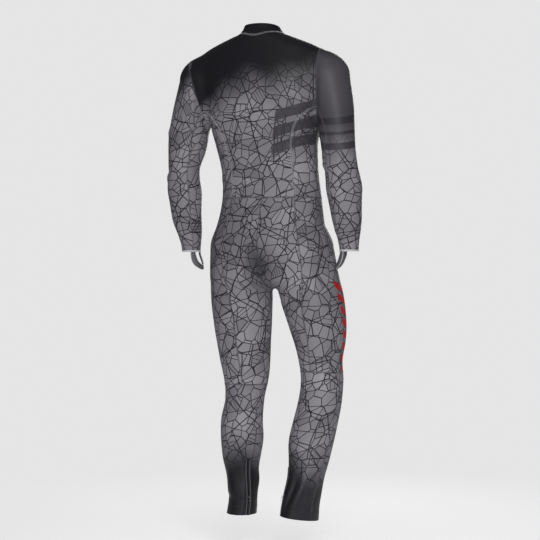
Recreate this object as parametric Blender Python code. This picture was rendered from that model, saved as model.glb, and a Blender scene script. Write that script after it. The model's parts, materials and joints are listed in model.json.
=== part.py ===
"""A ski race suit as it is worn, hollow, with nobody in it.

The one-piece suit is cut from stretch panels that are sewn edge to edge. Each panel is a thin wall
laid on a plain standing figure: a trunk, two legs and two arms, whose level sections are the sizes
in the tables below. The wearer faces -Y, and their left is +X. Heights are metres above the hems.
"""

import math

import bpy
import numpy as np

# Driving sizes, in metres
NECK_SEAM = 1.415  # height of the middle of the collar seam, which is the part's origin
CLOTH = 0.0015  # thickness of the knit
COLLAR_CLOTH = 0.0022  # the collar is doubled over
COLLAR_INSET = 0.0003  # and its thicker edge stands further back from the seam
SEAM_GAP = 0.0003  # daylight between two panels that are sewn together
WAIST_SEAM = 0.946
KNEE_SEAM = {"left": 0.387, "right": 0.428}
NECK_Y = 0.046
NECK_SIDE = 0.0660
NECK_BACK = 0.0655
NECK_FRONT = 0.0630
COLLAR_TOP = 1.4526
COLLAR_TILT = math.radians(7)
CUFF = 0.792
SHOULDER_DROP = 0.008  # the left shoulder hangs lower by this share of its distance from the middle
SHOULDER_DROP_FROM = 1.02
SHOULDER_DROP_FULL = 1.30
NECK_LEAN = 0.008  # the neck stands this far to the left of the middle plane
NECK_LEAN_FROM = 1.30
NECK_LEAN_FULL = 1.43
HEM_TILT = 0.145  # the right hem rises this much for each metre inwards along HEM_INWARDS
HEM_INWARDS = (0.94, 0.342)
HEM_MIDDLE = (-0.126, 0.072)
HEM_RISE = 0.004
HEM_TILT_TOP = 0.130

BINDING = 0.0052  # height of the elastic at a cuff
ZIP_FOOT = 0.86  # where the front zip ends
ANKLE_ZIP_ANGLE = -30
ANKLE_ZIP_TOP = 0.165
PULL_LENGTH = 0.020
PRINCESS = 40  # angle of the back's long seams round the waist
THIGH_TOP = 0.60  # below this height the legs' rings are level
HIP_HEIGHT = 0.86
PRINCESS_SEAT = 42

# Where the long seams pass, as (angle from the middle of the back, height)
BACK_SEAM_ROUTE = [(PRINCESS, WAIST_SEAM), (40, 1.05), (41, 1.11), (46, 1.165)]
SIDE_SEAM_ROUTE = [(90, WAIST_SEAM), (90, 1.08)]
SIDE_SEAM_THIGH = (90, 0.72)
PRINCESS_THIGH = (12, 0.74)

# How many facets each seam is cut into, shared by the two panels that it joins
ARMHOLE_STEPS = 20
ARMHOLE_TO_BACK_SEAM = 7
ARMHOLE_TO_SIDE_SEAM = 11
SLEEVE_FRONT_SEAM = 14
NECK_STEPS = 16
NECK_TO_SHOULDER = 3
SHOULDER_STEPS = 3
SIDE_STEPS = 8
CENTRE_BACK_STEPS = 6
SIDE_BACK_STEPS = 4
FRONT_STEPS = 8
SEAT_ROWS = 10
THIGH_ROWS = 8
SHIN_ROWS = 14
ARMPIT_ROWS = 9
SLEEVE_ROWS = 12
COLLAR_ROWS = 3
INSEAM_ROWS = 2


class Sections:
    """Sizes given at a few heights, with a smooth curve through each column."""

    def __init__(self, columns, rows):
        ordered = sorted(rows)
        self.columns = columns.split()[1:]
        self.heights = np.array([row[0] for row in ordered])
        self.values = np.array([row[1:] for row in ordered])
        self.slopes = np.gradient(self.values, self.heights, axis=0)

    def at(self, heights):
        """Each column's value at these heights, by name."""
        heights = np.clip(heights, self.heights[0], self.heights[-1])
        last = len(self.heights) - 2
        row = np.clip(np.searchsorted(self.heights, heights, side="right") - 1, 0, last)
        span = self.heights[row + 1] - self.heights[row]
        t = ((heights - self.heights[row]) / span)[..., None]
        span = span[..., None]
        ease = t * t * (3 - 2 * t)
        values = self.values[row] * (1 - ease) + self.values[row + 1] * ease
        values = values + span * t * (1 - t) * ((1 - t) * self.slopes[row] - t * self.slopes[row + 1])
        return dict(zip(self.columns, np.moveaxis(values, -1, 0)))


TRUNK = Sections(
    "height x y side front back",
    [
        (0.72, 0, -0.030, 0.160, 0.104, 0.104),
        (0.76, 0.002, -0.022, 0.169, 0.112, 0.118),
        (0.80, 0.004, -0.015, 0.172, 0.116, 0.124),
        (0.85, 0.004, -0.015, 0.165, 0.112, 0.120),
        (0.90, 0.002, -0.019, 0.157, 0.106, 0.106),
        (0.946, 0.001, -0.018, 0.151, 0.103, 0.094),
        (1.00, 0.0015, -0.010, 0.147, 0.102, 0.084),
        (1.05, 0.002, 0.005, 0.148, 0.106, 0.084),
        (1.10, 0.003, 0.022, 0.153, 0.114, 0.090),
        (1.16, 0.002, 0.036, 0.166, 0.122, 0.102),
        (1.22, 0, 0.044, 0.176, 0.126, 0.110),
        (1.28, 0, 0.049, 0.186, 0.120, 0.111),
        (1.32, 0, 0.051, 0.192, 0.106, 0.104),
        (1.35, 0, 0.052, 0.193, 0.088, 0.093),
        (1.366, 0, 0.052, 0.190, 0.078, 0.085),
        (1.383, 0, 0.052, 0.173, 0.069, 0.078),
        (1.401, 0, 0.051, 0.137, 0.061, 0.071),
        (1.419, 0, 0.049, 0.094, 0.056, 0.064),
        (1.431, 0, 0.047, 0.064, 0.054, 0.059),
        (1.440, 0, 0.046, 0.056, 0.053, 0.054),
        (1.456, 0, 0.046, 0.0485, 0.050, 0.049),
        (1.480, 0, 0.046, 0.0460, 0.048, 0.046),
    ],
)
TRUNK_CAP = 0.040  # how far the trunk rounds off below its lowest section
TRUNK_SQUARENESS = 2.3
LIMB_SQUARENESS = 2.0

LEG_CUT = Sections(
    "height side front back",
    [
        (0.00, 0.0430, 0.060, 0.064),
        (0.06, 0.0438, 0.056, 0.062),
        (0.12, 0.0465, 0.054, 0.060),
        (0.17, 0.0560, 0.056, 0.066),
        (0.225, 0.0630, 0.060, 0.076),
        (0.28, 0.0612, 0.062, 0.073),
        (0.345, 0.0590, 0.065, 0.063),
        (0.40, 0.0645, 0.070, 0.064),
        (0.46, 0.0700, 0.077, 0.073),
        (0.52, 0.0790, 0.085, 0.083),
        (0.58, 0.0870, 0.091, 0.092),
        (0.66, 0.0920, 0.096, 0.099),
        (0.72, 0.0900, 0.095, 0.098),
        (0.80, 0.0830, 0.085, 0.090),
    ],
)
LEG_CAP = 0.06

LEG_POSE = {
    "left": Sections(
        "height x y turn ease",
        [
            (0.00, 0.090, 0.002, 15, 0),
            (0.04, 0.086, 0.000, 15, -0.002),
            (0.09, 0.089, -0.004, 14, 0),
            (0.15, 0.095, -0.010, 13, 0),
            (0.22, 0.095, -0.016, 12, 0),
            (0.28, 0.098, -0.022, 11, 0),
            (0.34, 0.094, -0.036, 10, -0.001),
            (0.40, 0.093, -0.045, 9, 0.002),
            (0.46, 0.097, -0.045, 7, 0.005),
            (0.52, 0.100, -0.042, 5, 0.002),
            (0.64, 0.103, -0.035, 2, 0),
            (0.72, 0.104, -0.032, 0, 0),
            (0.80, 0.097, -0.028, 0, 0),
        ],
    ),
    "right": Sections(
        "height x y turn ease",
        [
            (0.00, -0.1225, 0.080, -28, 0),
            (0.04, -0.126, 0.076, -28, 0),
            (0.10, -0.1345, 0.064, -26, 0),
            (0.16, -0.1405, 0.048, -24, 0),
            (0.22, -0.143, 0.028, -22, 0),
            (0.28, -0.1475, 0.004, -20, 0.002),
            (0.34, -0.151, -0.020, -17, 0.003),
            (0.40, -0.152, -0.036, -14, -0.003),
            (0.46, -0.146, -0.040, -11, -0.007),
            (0.52, -0.144, -0.038, -8, -0.003),
            (0.58, -0.136, -0.035, -6, 0),
            (0.64, -0.124, -0.032, -4, 0.002),
            (0.72, -0.108, -0.030, -2, 0),
            (0.80, -0.095, -0.028, 0, 0),
        ],
    ),
}

ARM_CUT = Sections(
    "height side front back",
    [
        (0.73, 0.0260, 0.030, 0.030),
        (0.79, 0.0260, 0.030, 0.030),
        (0.82, 0.0300, 0.034, 0.034),
        (0.85, 0.0370, 0.039, 0.039),
        (0.88, 0.0425, 0.043, 0.043),
        (0.91, 0.0455, 0.046, 0.046),
        (0.94, 0.0490, 0.049, 0.049),
        (0.97, 0.0520, 0.051, 0.051),
        (1.00, 0.0500, 0.050, 0.052),
        (1.03, 0.0490, 0.049, 0.052),
        (1.06, 0.0510, 0.050, 0.052),
        (1.11, 0.0545, 0.054, 0.054),
        (1.18, 0.0560, 0.058, 0.058),
        (1.24, 0.0570, 0.062, 0.061),
        (1.30, 0.0590, 0.066, 0.064),
    ],
)
ARM_CAP = 0.060
ARM_Y = 0.054
ARMHOLE_FOOT = (0.169, 1.158)  # each as (distance from the middle plane, height)
SHOULDER_POINT = {"left": (0.224, 1.368), "right": (0.190, 1.385)}
ARMHOLE_DEPTH = 0.066
SLEEVE_DEPTH = 0.062
FAN_END = 1.10  # the sleeve's rings are level from here down
FAN_FOOT = 0.1915  # how far from the middle plane the last tilted ring passes the armpit
FAN_TOP = 0.300  # and how far out it crosses the sleeve's top

ARM_POSE = {
    "left": Sections(
        "height x y turn ease",
        [
            (0.73, 0.255, -0.006, 0, 0),
            (0.79, 0.255, 0.000, 0, 0),
            (0.82, 0.255, 0.004, 0, 0),
            (0.88, 0.260, 0.020, 0, 0),
            (0.94, 0.260, 0.035, 0, -0.001),
            (1.00, 0.259, 0.048, 0, -0.0025),
            (1.035, 0.257, 0.052, 0, -0.0035),
            (1.09, 0.246, 0.054, 0, 0.002),
            (1.145, 0.239, 0.055, 0, 0.004),
            (1.20, 0.229, 0.055, 0, 0.0025),
            (1.30, 0.204, 0.055, 0, 0),
        ],
    ),
    "right": Sections(
        "height x y turn ease",
        [
            (0.73, -0.248, -0.006, 0, 0),
            (0.79, -0.248, 0.000, 0, 0),
            (0.82, -0.248, 0.004, 0, 0),
            (0.88, -0.247, 0.018, 0, 0),
            (0.94, -0.2465, 0.035, 0, 0),
            (1.00, -0.2445, 0.048, 0, 0),
            (1.035, -0.239, 0.052, 0, -0.001),
            (1.09, -0.232, 0.054, 0, -0.0045),
            (1.145, -0.228, 0.055, 0, -0.0045),
            (1.20, -0.223, 0.055, 0, -0.003),
            (1.30, -0.204, 0.055, 0, 0),
        ],
    ),
}

# How softly one form runs into the next, in metres, and the heights between which that fades out
HIP_BLEND = 0.040
CROTCH_BLEND = 0.026
CROTCH_BLEND_FADES = (0.62, 0.67)
ARM_BLEND = 0.034
ARM_BLEND_FADES = (1.115, 1.205)
NO_BLEND = 0.0008

# Creases that the cloth shows from a step away. Angles are degrees round the limb: 0 at the back,
# 90 at the wearer's left. A crease runs from its top to its foot and stands out by its depth.
FOLDS = [
    # limb, top height, top angle, foot height, foot angle, half width, depth
    ("right leg", 0.152, -20, 0.018, 2, 0.010, -0.0055),
    ("right leg", 0.150, -48, 0.008, -24, 0.014, 0.0040),
    ("right leg", 0.100, -70, 0.050, -62, 0.010, 0.0035),
    ("right leg", 0.515, -37, 0.462, -11, 0.008, 0.0035),
    ("right leg", 0.520, -54, 0.436, -18, 0.008, 0.0032),
    ("right leg", 0.436, 60, 0.430, -30, 0.008, -0.0025),
    ("left leg", 0.135, 40, 0.030, 46, 0.010, 0.0035),
    ("left leg", 0.130, -96, 0.070, -84, 0.013, 0.0045),
    ("left leg", 0.110, 20, 0.030, 12, 0.014, 0.0025),
    ("left leg", 0.055, 92, 0.048, 30, 0.008, -0.0025),
    ("left leg", 0.398, -70, 0.392, 40, 0.008, 0.0022),
    ("left arm", 1.055, -96, 1.040, -40, 0.009, 0.0040),
    ("left arm", 1.120, -60, 1.060, -50, 0.010, 0.0022),
    ("left arm", 1.015, 98, 1.010, 50, 0.009, 0.0030),
    ("left arm", 1.150, 96, 1.145, 40, 0.010, 0.0024),
    ("right arm", 1.045, 92, 1.030, 40, 0.009, 0.0032),
    ("right arm", 1.265, -96, 1.262, -60, 0.009, 0.0030),
    ("right arm", 1.160, -98, 1.130, -50, 0.012, 0.0026),
    ("right arm", 0.930, 70, 0.900, 30, 0.010, -0.0020),
    ("trunk", 1.010, 84, 0.985, 40, 0.012, 0.0020),
    ("trunk", 1.010, -84, 0.980, -46, 0.012, 0.0020),
]


# The strap of a thumb loop, from its rear end at the cuff round the thumb to its front end. Angles
# are from the back of the wrist towards the wearer's side, so the thumb is at about -100.
THUMB_LOOP = [
    # along, angle, drop, spread, width
    (0.00, -34, 0.000, 0.0000, 0.016),
    (0.07, -34, 0.006, 0.0000, 0.017),
    (0.16, -37, 0.016, 0.0015, 0.019),
    (0.33, -50, 0.034, 0.0050, 0.020),
    (0.50, -84, 0.046, 0.0090, 0.016),
    (0.67, -118, 0.038, 0.0080, 0.015),
    (0.84, -135, 0.016, 0.0030, 0.015),
    (0.93, -137, 0.006, 0.0000, 0.015),
    (1.00, -137, 0.000, 0.0000, 0.015),
]
THUMB_LOOP_STEPS = 14
THUMB_LOOP_REACH = 0.0275  # from the middle of the cuff, where the loop starts and ends


def smooth_step(value, low, high):
    share = np.clip((value - low) / (high - low), 0, 1)
    return share * share * (3 - 2 * share)


def limb_sections(cut, pose, heights):
    """One limb's sizes at these heights, in its pose."""
    size = cut.at(heights)
    place = pose.at(heights)
    for width in ("side", "front", "back"):
        size[width] = size[width] + place["ease"]
    return {**size, **place}


def outside(points, size, ends, cap, squareness):
    """How far points lie outside a column of level sections with rounded ends, in about metres."""
    x, y, height = points.T
    low, high = ends
    beyond = (np.maximum(height - high, 0) + np.maximum(low - height, 0)) / cap
    turn = np.radians(size.get("turn", 0.0))
    dx = x - size["x"]
    dy = y - size["y"]
    across = dx * np.cos(turn) + dy * np.sin(turn)
    along = dy * np.cos(turn) - dx * np.sin(turn)
    depth = np.where(along < 0, size["front"], size["back"])
    total = np.abs(across / size["side"]) ** squareness
    total = total + np.abs(along / depth) ** squareness + beyond**squareness
    return (total ** (1 / squareness) - 1) * np.minimum(size["side"], depth)


def soft_union(first, second, softness):
    """The nearer of two distances, rounded off where they are alike."""
    share = np.clip(0.5 + 0.5 * (second - first) / softness, 0, 1)
    return second + (first - second) * share - softness * share * (1 - share)


def figure(points):
    """How far points lie outside the standing figure."""
    height = points[:, 2]
    trunk = outside(points, TRUNK.at(height), (0.72, 2.0), TRUNK_CAP, TRUNK_SQUARENESS)
    legs = [
        outside(points, limb_sections(LEG_CUT, pose, height), (-1.0, 0.80), LEG_CAP, LIMB_SQUARENESS)
        for pose in LEG_POSE.values()
    ]
    crotch = NO_BLEND + (CROTCH_BLEND - NO_BLEND) * smooth_step(height, *CROTCH_BLEND_FADES)
    body = soft_union(trunk, soft_union(*legs, crotch), HIP_BLEND)
    armpit = NO_BLEND + (ARM_BLEND - NO_BLEND) * smooth_step(height, *ARM_BLEND_FADES)
    for pose in ARM_POSE.values():
        arm = outside(points, limb_sections(ARM_CUT, pose, height), (0.5, 1.30), ARM_CAP, LIMB_SQUARENESS)
        body = soft_union(body, arm, armpit)
    return body


def slope_of(points, step=0.0002):
    """The figure's distance at points and the direction in which it grows."""
    probes = np.concatenate([points] + [points + axis for axis in np.eye(3) * step])
    here, *ahead = figure(probes).reshape(4, -1)
    return here, np.stack([(there - here) / step for there in ahead], axis=1)


def onto_figure(points, plane=None, steps=10):
    """Moves points to the figure's skin, each within its own plane if normals are given."""
    points = np.array(points, float)
    for _ in range(steps):
        distance, slope = slope_of(points)
        if plane is not None:
            slope = slope - (slope * plane).sum(1)[:, None] * plane
        step = distance / np.maximum((slope**2).sum(1), 0.05)
        points = points - np.clip(step, -0.02, 0.02)[:, None] * slope
    return points


def skin_normals(points):
    slope = slope_of(points)[1]
    return slope / np.linalg.norm(slope, axis=1)[:, None]


def resample(points, count):
    """The same line, cut into count equal lengths."""
    lengths = np.concatenate([[0], np.cumsum(np.linalg.norm(np.diff(points, axis=0), axis=1))])
    stops = np.linspace(0, lengths[-1], count + 1)
    return np.stack([np.interp(stops, lengths, column) for column in points.T], axis=1)


def smooth_line(corners, count=60):
    """A smooth line through a few corners."""
    corners = np.array(corners, float)
    marks = np.concatenate([[0], np.cumsum(np.linalg.norm(np.diff(corners, axis=0), axis=1))])
    line = Sections("mark x y z", [(mark, *corner) for mark, corner in zip(marks, corners)])
    found = line.at(np.linspace(0, marks[-1], count))
    return np.stack([found["x"], found["y"], found["z"]], axis=1)


def seam(corners, count):
    """A seam on the figure's skin through a few corners, cut into count equal facets."""
    ends = [np.array(corners[0], float), np.array(corners[-1], float)]
    line = onto_figure(resample(onto_figure(smooth_line(corners)), count))
    line[0], line[-1] = ends
    return line


def trunk_ring(angles, height):
    """Points on the skin at a level, by their angles round the trunk from the middle of the back."""
    turn = np.radians(angles)
    size = TRUNK.at(np.full(len(turn), height))
    depth = np.where(np.cos(turn) > 0, size["back"], size["front"])
    guess = [size["x"] + size["side"] * np.sin(turn), size["y"] + depth * np.cos(turn), turn * 0 + height]
    return onto_figure(np.stack(guess, axis=1), np.tile([0, 0, 1.0], (len(turn), 1)))


def trunk_point(angle, height):
    return trunk_ring([angle], height)[0]


def level_ring(cut, pose, height, angles):
    """Points round one limb at a level, by their angles from its back towards the wearer's left."""
    size = limb_sections(cut, pose, np.full(len(angles), height))
    turn = np.radians(size["turn"])
    round_limb = np.radians(angles)
    across = size["side"] * np.sin(round_limb)
    depth = np.where(np.cos(round_limb) > 0, size["back"], size["front"])
    along = depth * np.cos(round_limb)
    x = size["x"] + across * np.cos(turn) - along * np.sin(turn)
    y = size["y"] + across * np.sin(turn) + along * np.cos(turn)
    guess = np.stack([x, y, size["x"] * 0 + height], axis=1)
    return onto_figure(guess, np.tile([0, 0, 1.0], (len(guess), 1)))


def side_sign(side):
    return 1 if side == "left" else -1


def neck_ring():
    """Where the collar is sewn on, from the middle of the back to the left. It dips in front."""
    angles = np.arange(NECK_STEPS) * 2 * math.pi / NECK_STEPS
    depth = np.where(np.cos(angles) > 0, NECK_BACK, NECK_FRONT)
    ring = np.stack([NECK_SIDE * np.sin(angles), NECK_Y + depth * np.cos(angles), angles * 0], axis=1)
    low, high = angles * 0 + 1.33, angles * 0 + 1.53
    for _ in range(30):
        ring[:, 2] = (low + high) / 2
        within = figure(ring) < 0
        low = np.where(within, ring[:, 2], low)
        high = np.where(within, high, ring[:, 2])
    return ring


def collar_top():
    """The collar's top edge, in a plane that dips forwards."""
    angles = np.arange(NECK_STEPS) * 2 * math.pi / NECK_STEPS
    back = np.array([0, math.cos(COLLAR_TILT), math.sin(COLLAR_TILT)])
    left = np.array([1.0, 0, 0])
    spread = np.sin(angles)[:, None] * left + np.cos(angles)[:, None] * back
    middle = np.array([0, NECK_Y, COLLAR_TOP])
    return onto_figure(middle + 0.05 * spread, np.tile(np.cross(left, back), (NECK_STEPS, 1)), 16)


def ring_through(foot, top, depth):
    """A ring on the skin in the plane through two (x, height) points, from the top round the back."""
    foot = np.array([foot[0], ARM_Y, foot[1]])
    top = np.array([top[0], ARM_Y, top[1]])
    up = (top - foot) / np.linalg.norm(top - foot)
    back = np.array([0, 1.0, 0])
    half = np.linalg.norm(top - foot) / 2
    angles = np.arange(ARMHOLE_STEPS) * 2 * math.pi / ARMHOLE_STEPS
    spread = half * np.cos(angles)[:, None] * up + depth * np.sin(angles)[:, None] * back
    plane = np.tile(np.cross(up, back), (ARMHOLE_STEPS, 1))
    return onto_figure((foot + top) / 2 + spread, plane, 24)


def armhole(side):
    """The ring where a sleeve is sewn on."""
    sign = side_sign(side)
    foot = (sign * ARMHOLE_FOOT[0], ARMHOLE_FOOT[1])
    top = (sign * SHOULDER_POINT[side][0], SHOULDER_POINT[side][1])
    return ring_through(foot, top, ARMHOLE_DEPTH)


def sleeve_rings(side):
    """The sleeve's rings, from the armhole to the cuff. Their planes fan out round the armpit."""
    sign = side_sign(side)
    pose = ARM_POSE[side]
    shoulder_x, shoulder_height = SHOULDER_POINT[side]
    rings = [armhole(side)]
    for share in np.linspace(0, 1, ARMPIT_ROWS + 1)[1:]:
        turn = share * math.pi / 2
        foot = (
            sign * (ARMHOLE_FOOT[0] + (FAN_FOOT - ARMHOLE_FOOT[0]) * share),
            ARMHOLE_FOOT[1] + (FAN_END - ARMHOLE_FOOT[1]) * share,
        )
        top = (
            sign * (shoulder_x + (FAN_TOP - shoulder_x) * math.sin(turn)),
            FAN_END + (shoulder_height - FAN_END) * math.cos(turn),
        )
        rings.append(ring_through(foot, top, SLEEVE_DEPTH))
    angles = np.arange(ARMHOLE_STEPS) * 360 / ARMHOLE_STEPS
    for height in np.linspace(FAN_END, CUFF, SLEEVE_ROWS + 1)[1:]:
        rings.append(level_ring(ARM_CUT, pose, height, sign * (90 - angles)))
    return np.array(rings)


def centre_line(start, count, front=False):
    """The seam in the suit's middle plane, from a height at the front or back to the crotch."""
    turn_y, turn_z = -0.022, 0.80
    away = -1 if front else 1
    down = np.linspace(start, turn_z, 20)
    angles = np.linspace(0, -math.pi / 2, 40)[1:]
    y = turn_y + away * 0.11 * np.concatenate([down * 0 + 1, np.cos(angles)])
    z = np.concatenate([down, turn_z + 0.11 * np.sin(angles)])
    plane = np.tile([1.0, 0, 0], (len(y), 1))
    line = onto_figure(np.stack([y * 0, y, z], axis=1), plane, 20)
    line[0] = trunk_point(180 if front else 0, start) * [0, 1, 1]
    ends = line[0].copy(), line[-1].copy()
    line = onto_figure(resample(line, count), plane[: count + 1])
    line[0], line[-1] = ends
    return line


def coons(bottom, top, left, right):
    """A grid of points between four edges, row by row from the bottom edge up."""
    u = np.linspace(0, 1, len(bottom))[None, :, None]
    v = np.linspace(0, 1, len(left))[:, None, None]
    along = (1 - v) * bottom[None] + v * top[None]
    across = (1 - u) * left[:, None] + u * right[:, None]
    corners = (1 - v) * ((1 - u) * bottom[0] + u * bottom[-1]) + v * ((1 - u) * top[0] + u * top[-1])
    return along + across - corners


def patch(bottom, top, left, right):
    """A panel's points on the figure's skin, whose edges stay where the seams are."""
    grid = coons(bottom, top, left, right)
    inner = grid[1:-1, 1:-1]
    grid[1:-1, 1:-1] = onto_figure(inner.reshape(-1, 3)).reshape(inner.shape)
    return grid


def limb_frame(limb, heights):
    if limb == "trunk":
        return TRUNK.at(heights)
    side, kind = limb.split()
    if kind == "leg":
        return limb_sections(LEG_CUT, LEG_POSE[side], heights)
    return limb_sections(ARM_CUT, ARM_POSE[side], heights)


def fold_line(limb, top, top_angle, foot, foot_angle, stops=9):
    """The middle of one crease, as points near the skin."""
    share = np.linspace(0, 1, stops)
    heights = top + (foot - top) * share
    angles = np.radians(top_angle + (foot_angle - top_angle) * share)
    size = limb_frame(limb, heights)
    turn = np.radians(size.get("turn", np.zeros(stops)))
    across = size["side"] * np.sin(angles)
    along = np.where(np.cos(angles) > 0, size["back"], size["front"]) * np.cos(angles)
    x = size["x"] + across * np.cos(turn) - along * np.sin(turn)
    y = size["y"] + across * np.sin(turn) + along * np.cos(turn)
    return np.stack([x, y, heights], axis=1)


def fold_lift(points):
    """How far the creases push each point of the cloth outwards."""
    lift = np.zeros(len(points))
    for limb, top, top_angle, foot, foot_angle, half_width, depth in FOLDS:
        line = fold_line(limb, top, top_angle, foot, foot_angle)
        best = np.full(len(points), 1e9)
        place = np.zeros(len(points))
        for step in range(len(line) - 1):
            run = line[step + 1] - line[step]
            share = np.clip(((points - line[step]) @ run) / (run @ run), 0, 1)
            gap = np.linalg.norm(points - line[step] - share[:, None] * run, axis=1)
            nearer = gap < best
            best = np.where(nearer, gap, best)
            place = np.where(nearer, (step + share) / (len(line) - 1), place)
        taper = np.sin(np.pi * np.clip(0.08 + 0.84 * place, 0, 1))
        lift += depth * taper * np.exp(-((best / half_width) ** 2))
    return lift


def right_hem_rise(points):
    """The right hem isn't level. Its inner side is pulled up, and this fades out up the leg."""
    inwards = (points[..., :2] - HEM_MIDDLE) @ np.array(HEM_INWARDS)
    fade = 1 - smooth_step(points[..., 2], 0.0, HEM_TILT_TOP)
    return fade * (points[..., 0] < 0) * (HEM_RISE + HEM_TILT * np.clip(inwards, -0.07, 0.07))


def settle(points):
    """Tilts the shoulders and the right hem, leans the neck, and measures from the collar seam."""
    points = np.array(points, float)
    lean = NECK_LEAN * smooth_step(points[..., 2], NECK_LEAN_FROM, NECK_LEAN_FULL)
    share = smooth_step(points[..., 2], SHOULDER_DROP_FROM, SHOULDER_DROP_FULL)
    points[..., 2] -= SHOULDER_DROP * share * points[..., 0]
    points[..., 2] += right_hem_rise(points)
    points[..., 0] += lean
    return points - [NECK_LEAN, NECK_Y, NECK_SEAM]


def inset_edges(grid, normals, edges, inset):
    """Moves the named edges of a grid inwards along the skin."""
    moved = grid.copy()
    ways = {
        "bottom": (np.s_[0, :], 1),
        "top": (np.s_[-1, :], -1),
        "left": (np.s_[:, 0], -1),
        "right": (np.s_[:, -1], 1),
    }
    for edge in edges:
        place, way = ways[edge]
        along = np.gradient(grid[place], axis=0)
        inward = way * np.cross(normals[place], along)
        moved[place] += inward / np.linalg.norm(inward, axis=1)[:, None] * inset
    return moved


def wall(name, grid, material, edges="bottom top left right", thickness=CLOTH, inset=SEAM_GAP / 2):
    """One panel of cloth: a thin wall over a grid of skin points, cut back a little at its seams."""
    flat = grid.reshape(-1, 3)
    normals = skin_normals(flat).reshape(grid.shape)
    raised = flat + fold_lift(flat)[:, None] * normals.reshape(-1, 3)
    inner = inset_edges(raised.reshape(grid.shape), normals, edges.split(), inset)
    outer = inner + thickness * normals
    return shell_mesh(name, inner, outer, material)


def shell_mesh(name, inner, outer, material):
    """A closed mesh between two grids of points."""
    rows, columns, _ = inner.shape
    points = np.concatenate([settle(outer).reshape(-1, 3), settle(inner).reshape(-1, 3)])
    below = rows * columns
    faces = []
    open_edges = {}
    for row in range(rows - 1):
        for column in range(columns - 1):
            a = row * columns + column
            cell = [a, a + 1, a + 1 + columns, a + columns]
            for triangle in halves(cell, points):
                faces.append(triangle)
                faces.append([below + corner for corner in reversed(triangle)])
            for start, end in zip(cell, cell[1:] + cell[:1]):
                if (end, start) in open_edges:
                    del open_edges[end, start]
                else:
                    open_edges[start, end] = True
    for start, end in open_edges:
        faces += halves([end, start, below + start, below + end], points)
    return closed_mesh(name, points, faces, material)


def halves(cell, points):
    """A cell's two triangles, split along its shorter diagonal."""
    a, b, c, d = cell
    if np.linalg.norm(points[a] - points[c]) <= np.linalg.norm(points[b] - points[d]):
        return [a, b, c], [a, c, d]
    return [a, b, d], [b, c, d]


def closed_mesh(name, points, faces, material):
    used = sorted({corner for face in faces for corner in face})
    renumber = {old: new for new, old in enumerate(used)}
    mesh = bpy.data.meshes.new(name)
    mesh.from_pydata(
        [tuple(points[old]) for old in used], [], [[renumber[corner] for corner in face] for face in faces]
    )
    mesh.update()
    if signed_volume(mesh) < 0:
        mesh.flip_normals()
    mesh.shade_smooth()
    mesh.set_sharp_from_angle(angle=math.radians(50))
    mesh.materials.append(material)
    suit = bpy.data.objects.new(name, mesh)
    SUIT.objects.link(suit)
    return suit


def signed_volume(mesh):
    mesh.calc_loop_triangles()
    corners = np.array([[mesh.vertices[i].co for i in t.vertices] for t in mesh.loop_triangles])
    return np.einsum("ij,ij->i", corners[:, 0], np.cross(corners[:, 1], corners[:, 2])).sum()


def band(name, line, normals, profile, material, closed=False, widths=1.0):
    """A strip swept along a line on the suit. The profile is (across, outwards) corners, in metres."""
    line = np.array(line, float)
    if closed:
        along = np.roll(line, -1, axis=0) - np.roll(line, 1, axis=0)
    else:
        along = np.gradient(line, axis=0)
    across = np.cross(along, normals)
    across = across / np.linalg.norm(across, axis=1)[:, None]
    profile = np.array(profile)[None] * np.reshape(widths, (-1, 1, 1)) ** [1, 0]
    rings = line[:, None] + profile[:, :, :1] * across[:, None] + profile[:, :, 1:] * normals[:, None]
    count, corners = rings.shape[:2]
    points = settle(rings).reshape(-1, 3)
    faces = []
    for ring in range(count if closed else count - 1):
        following = (ring + 1) % count
        for corner in range(corners):
            after = (corner + 1) % corners
            faces.append(
                [
                    ring * corners + corner,
                    ring * corners + after,
                    following * corners + after,
                    following * corners + corner,
                ]
            )
    if not closed:
        faces.append(list(range(corners))[::-1])
        faces.append([(count - 1) * corners + corner for corner in range(corners)])
    return closed_mesh(name, points, faces, material)


def material(name, colour, roughness, metallic=0.0):
    made = bpy.data.materials.new(name)
    made.use_nodes = True
    shader = made.node_tree.nodes["Principled BSDF"]
    shader.inputs["Base Color"].default_value = (*colour, 1.0)
    shader.inputs["Roughness"].default_value = roughness
    shader.inputs["Metallic"].default_value = metallic
    return made


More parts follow.
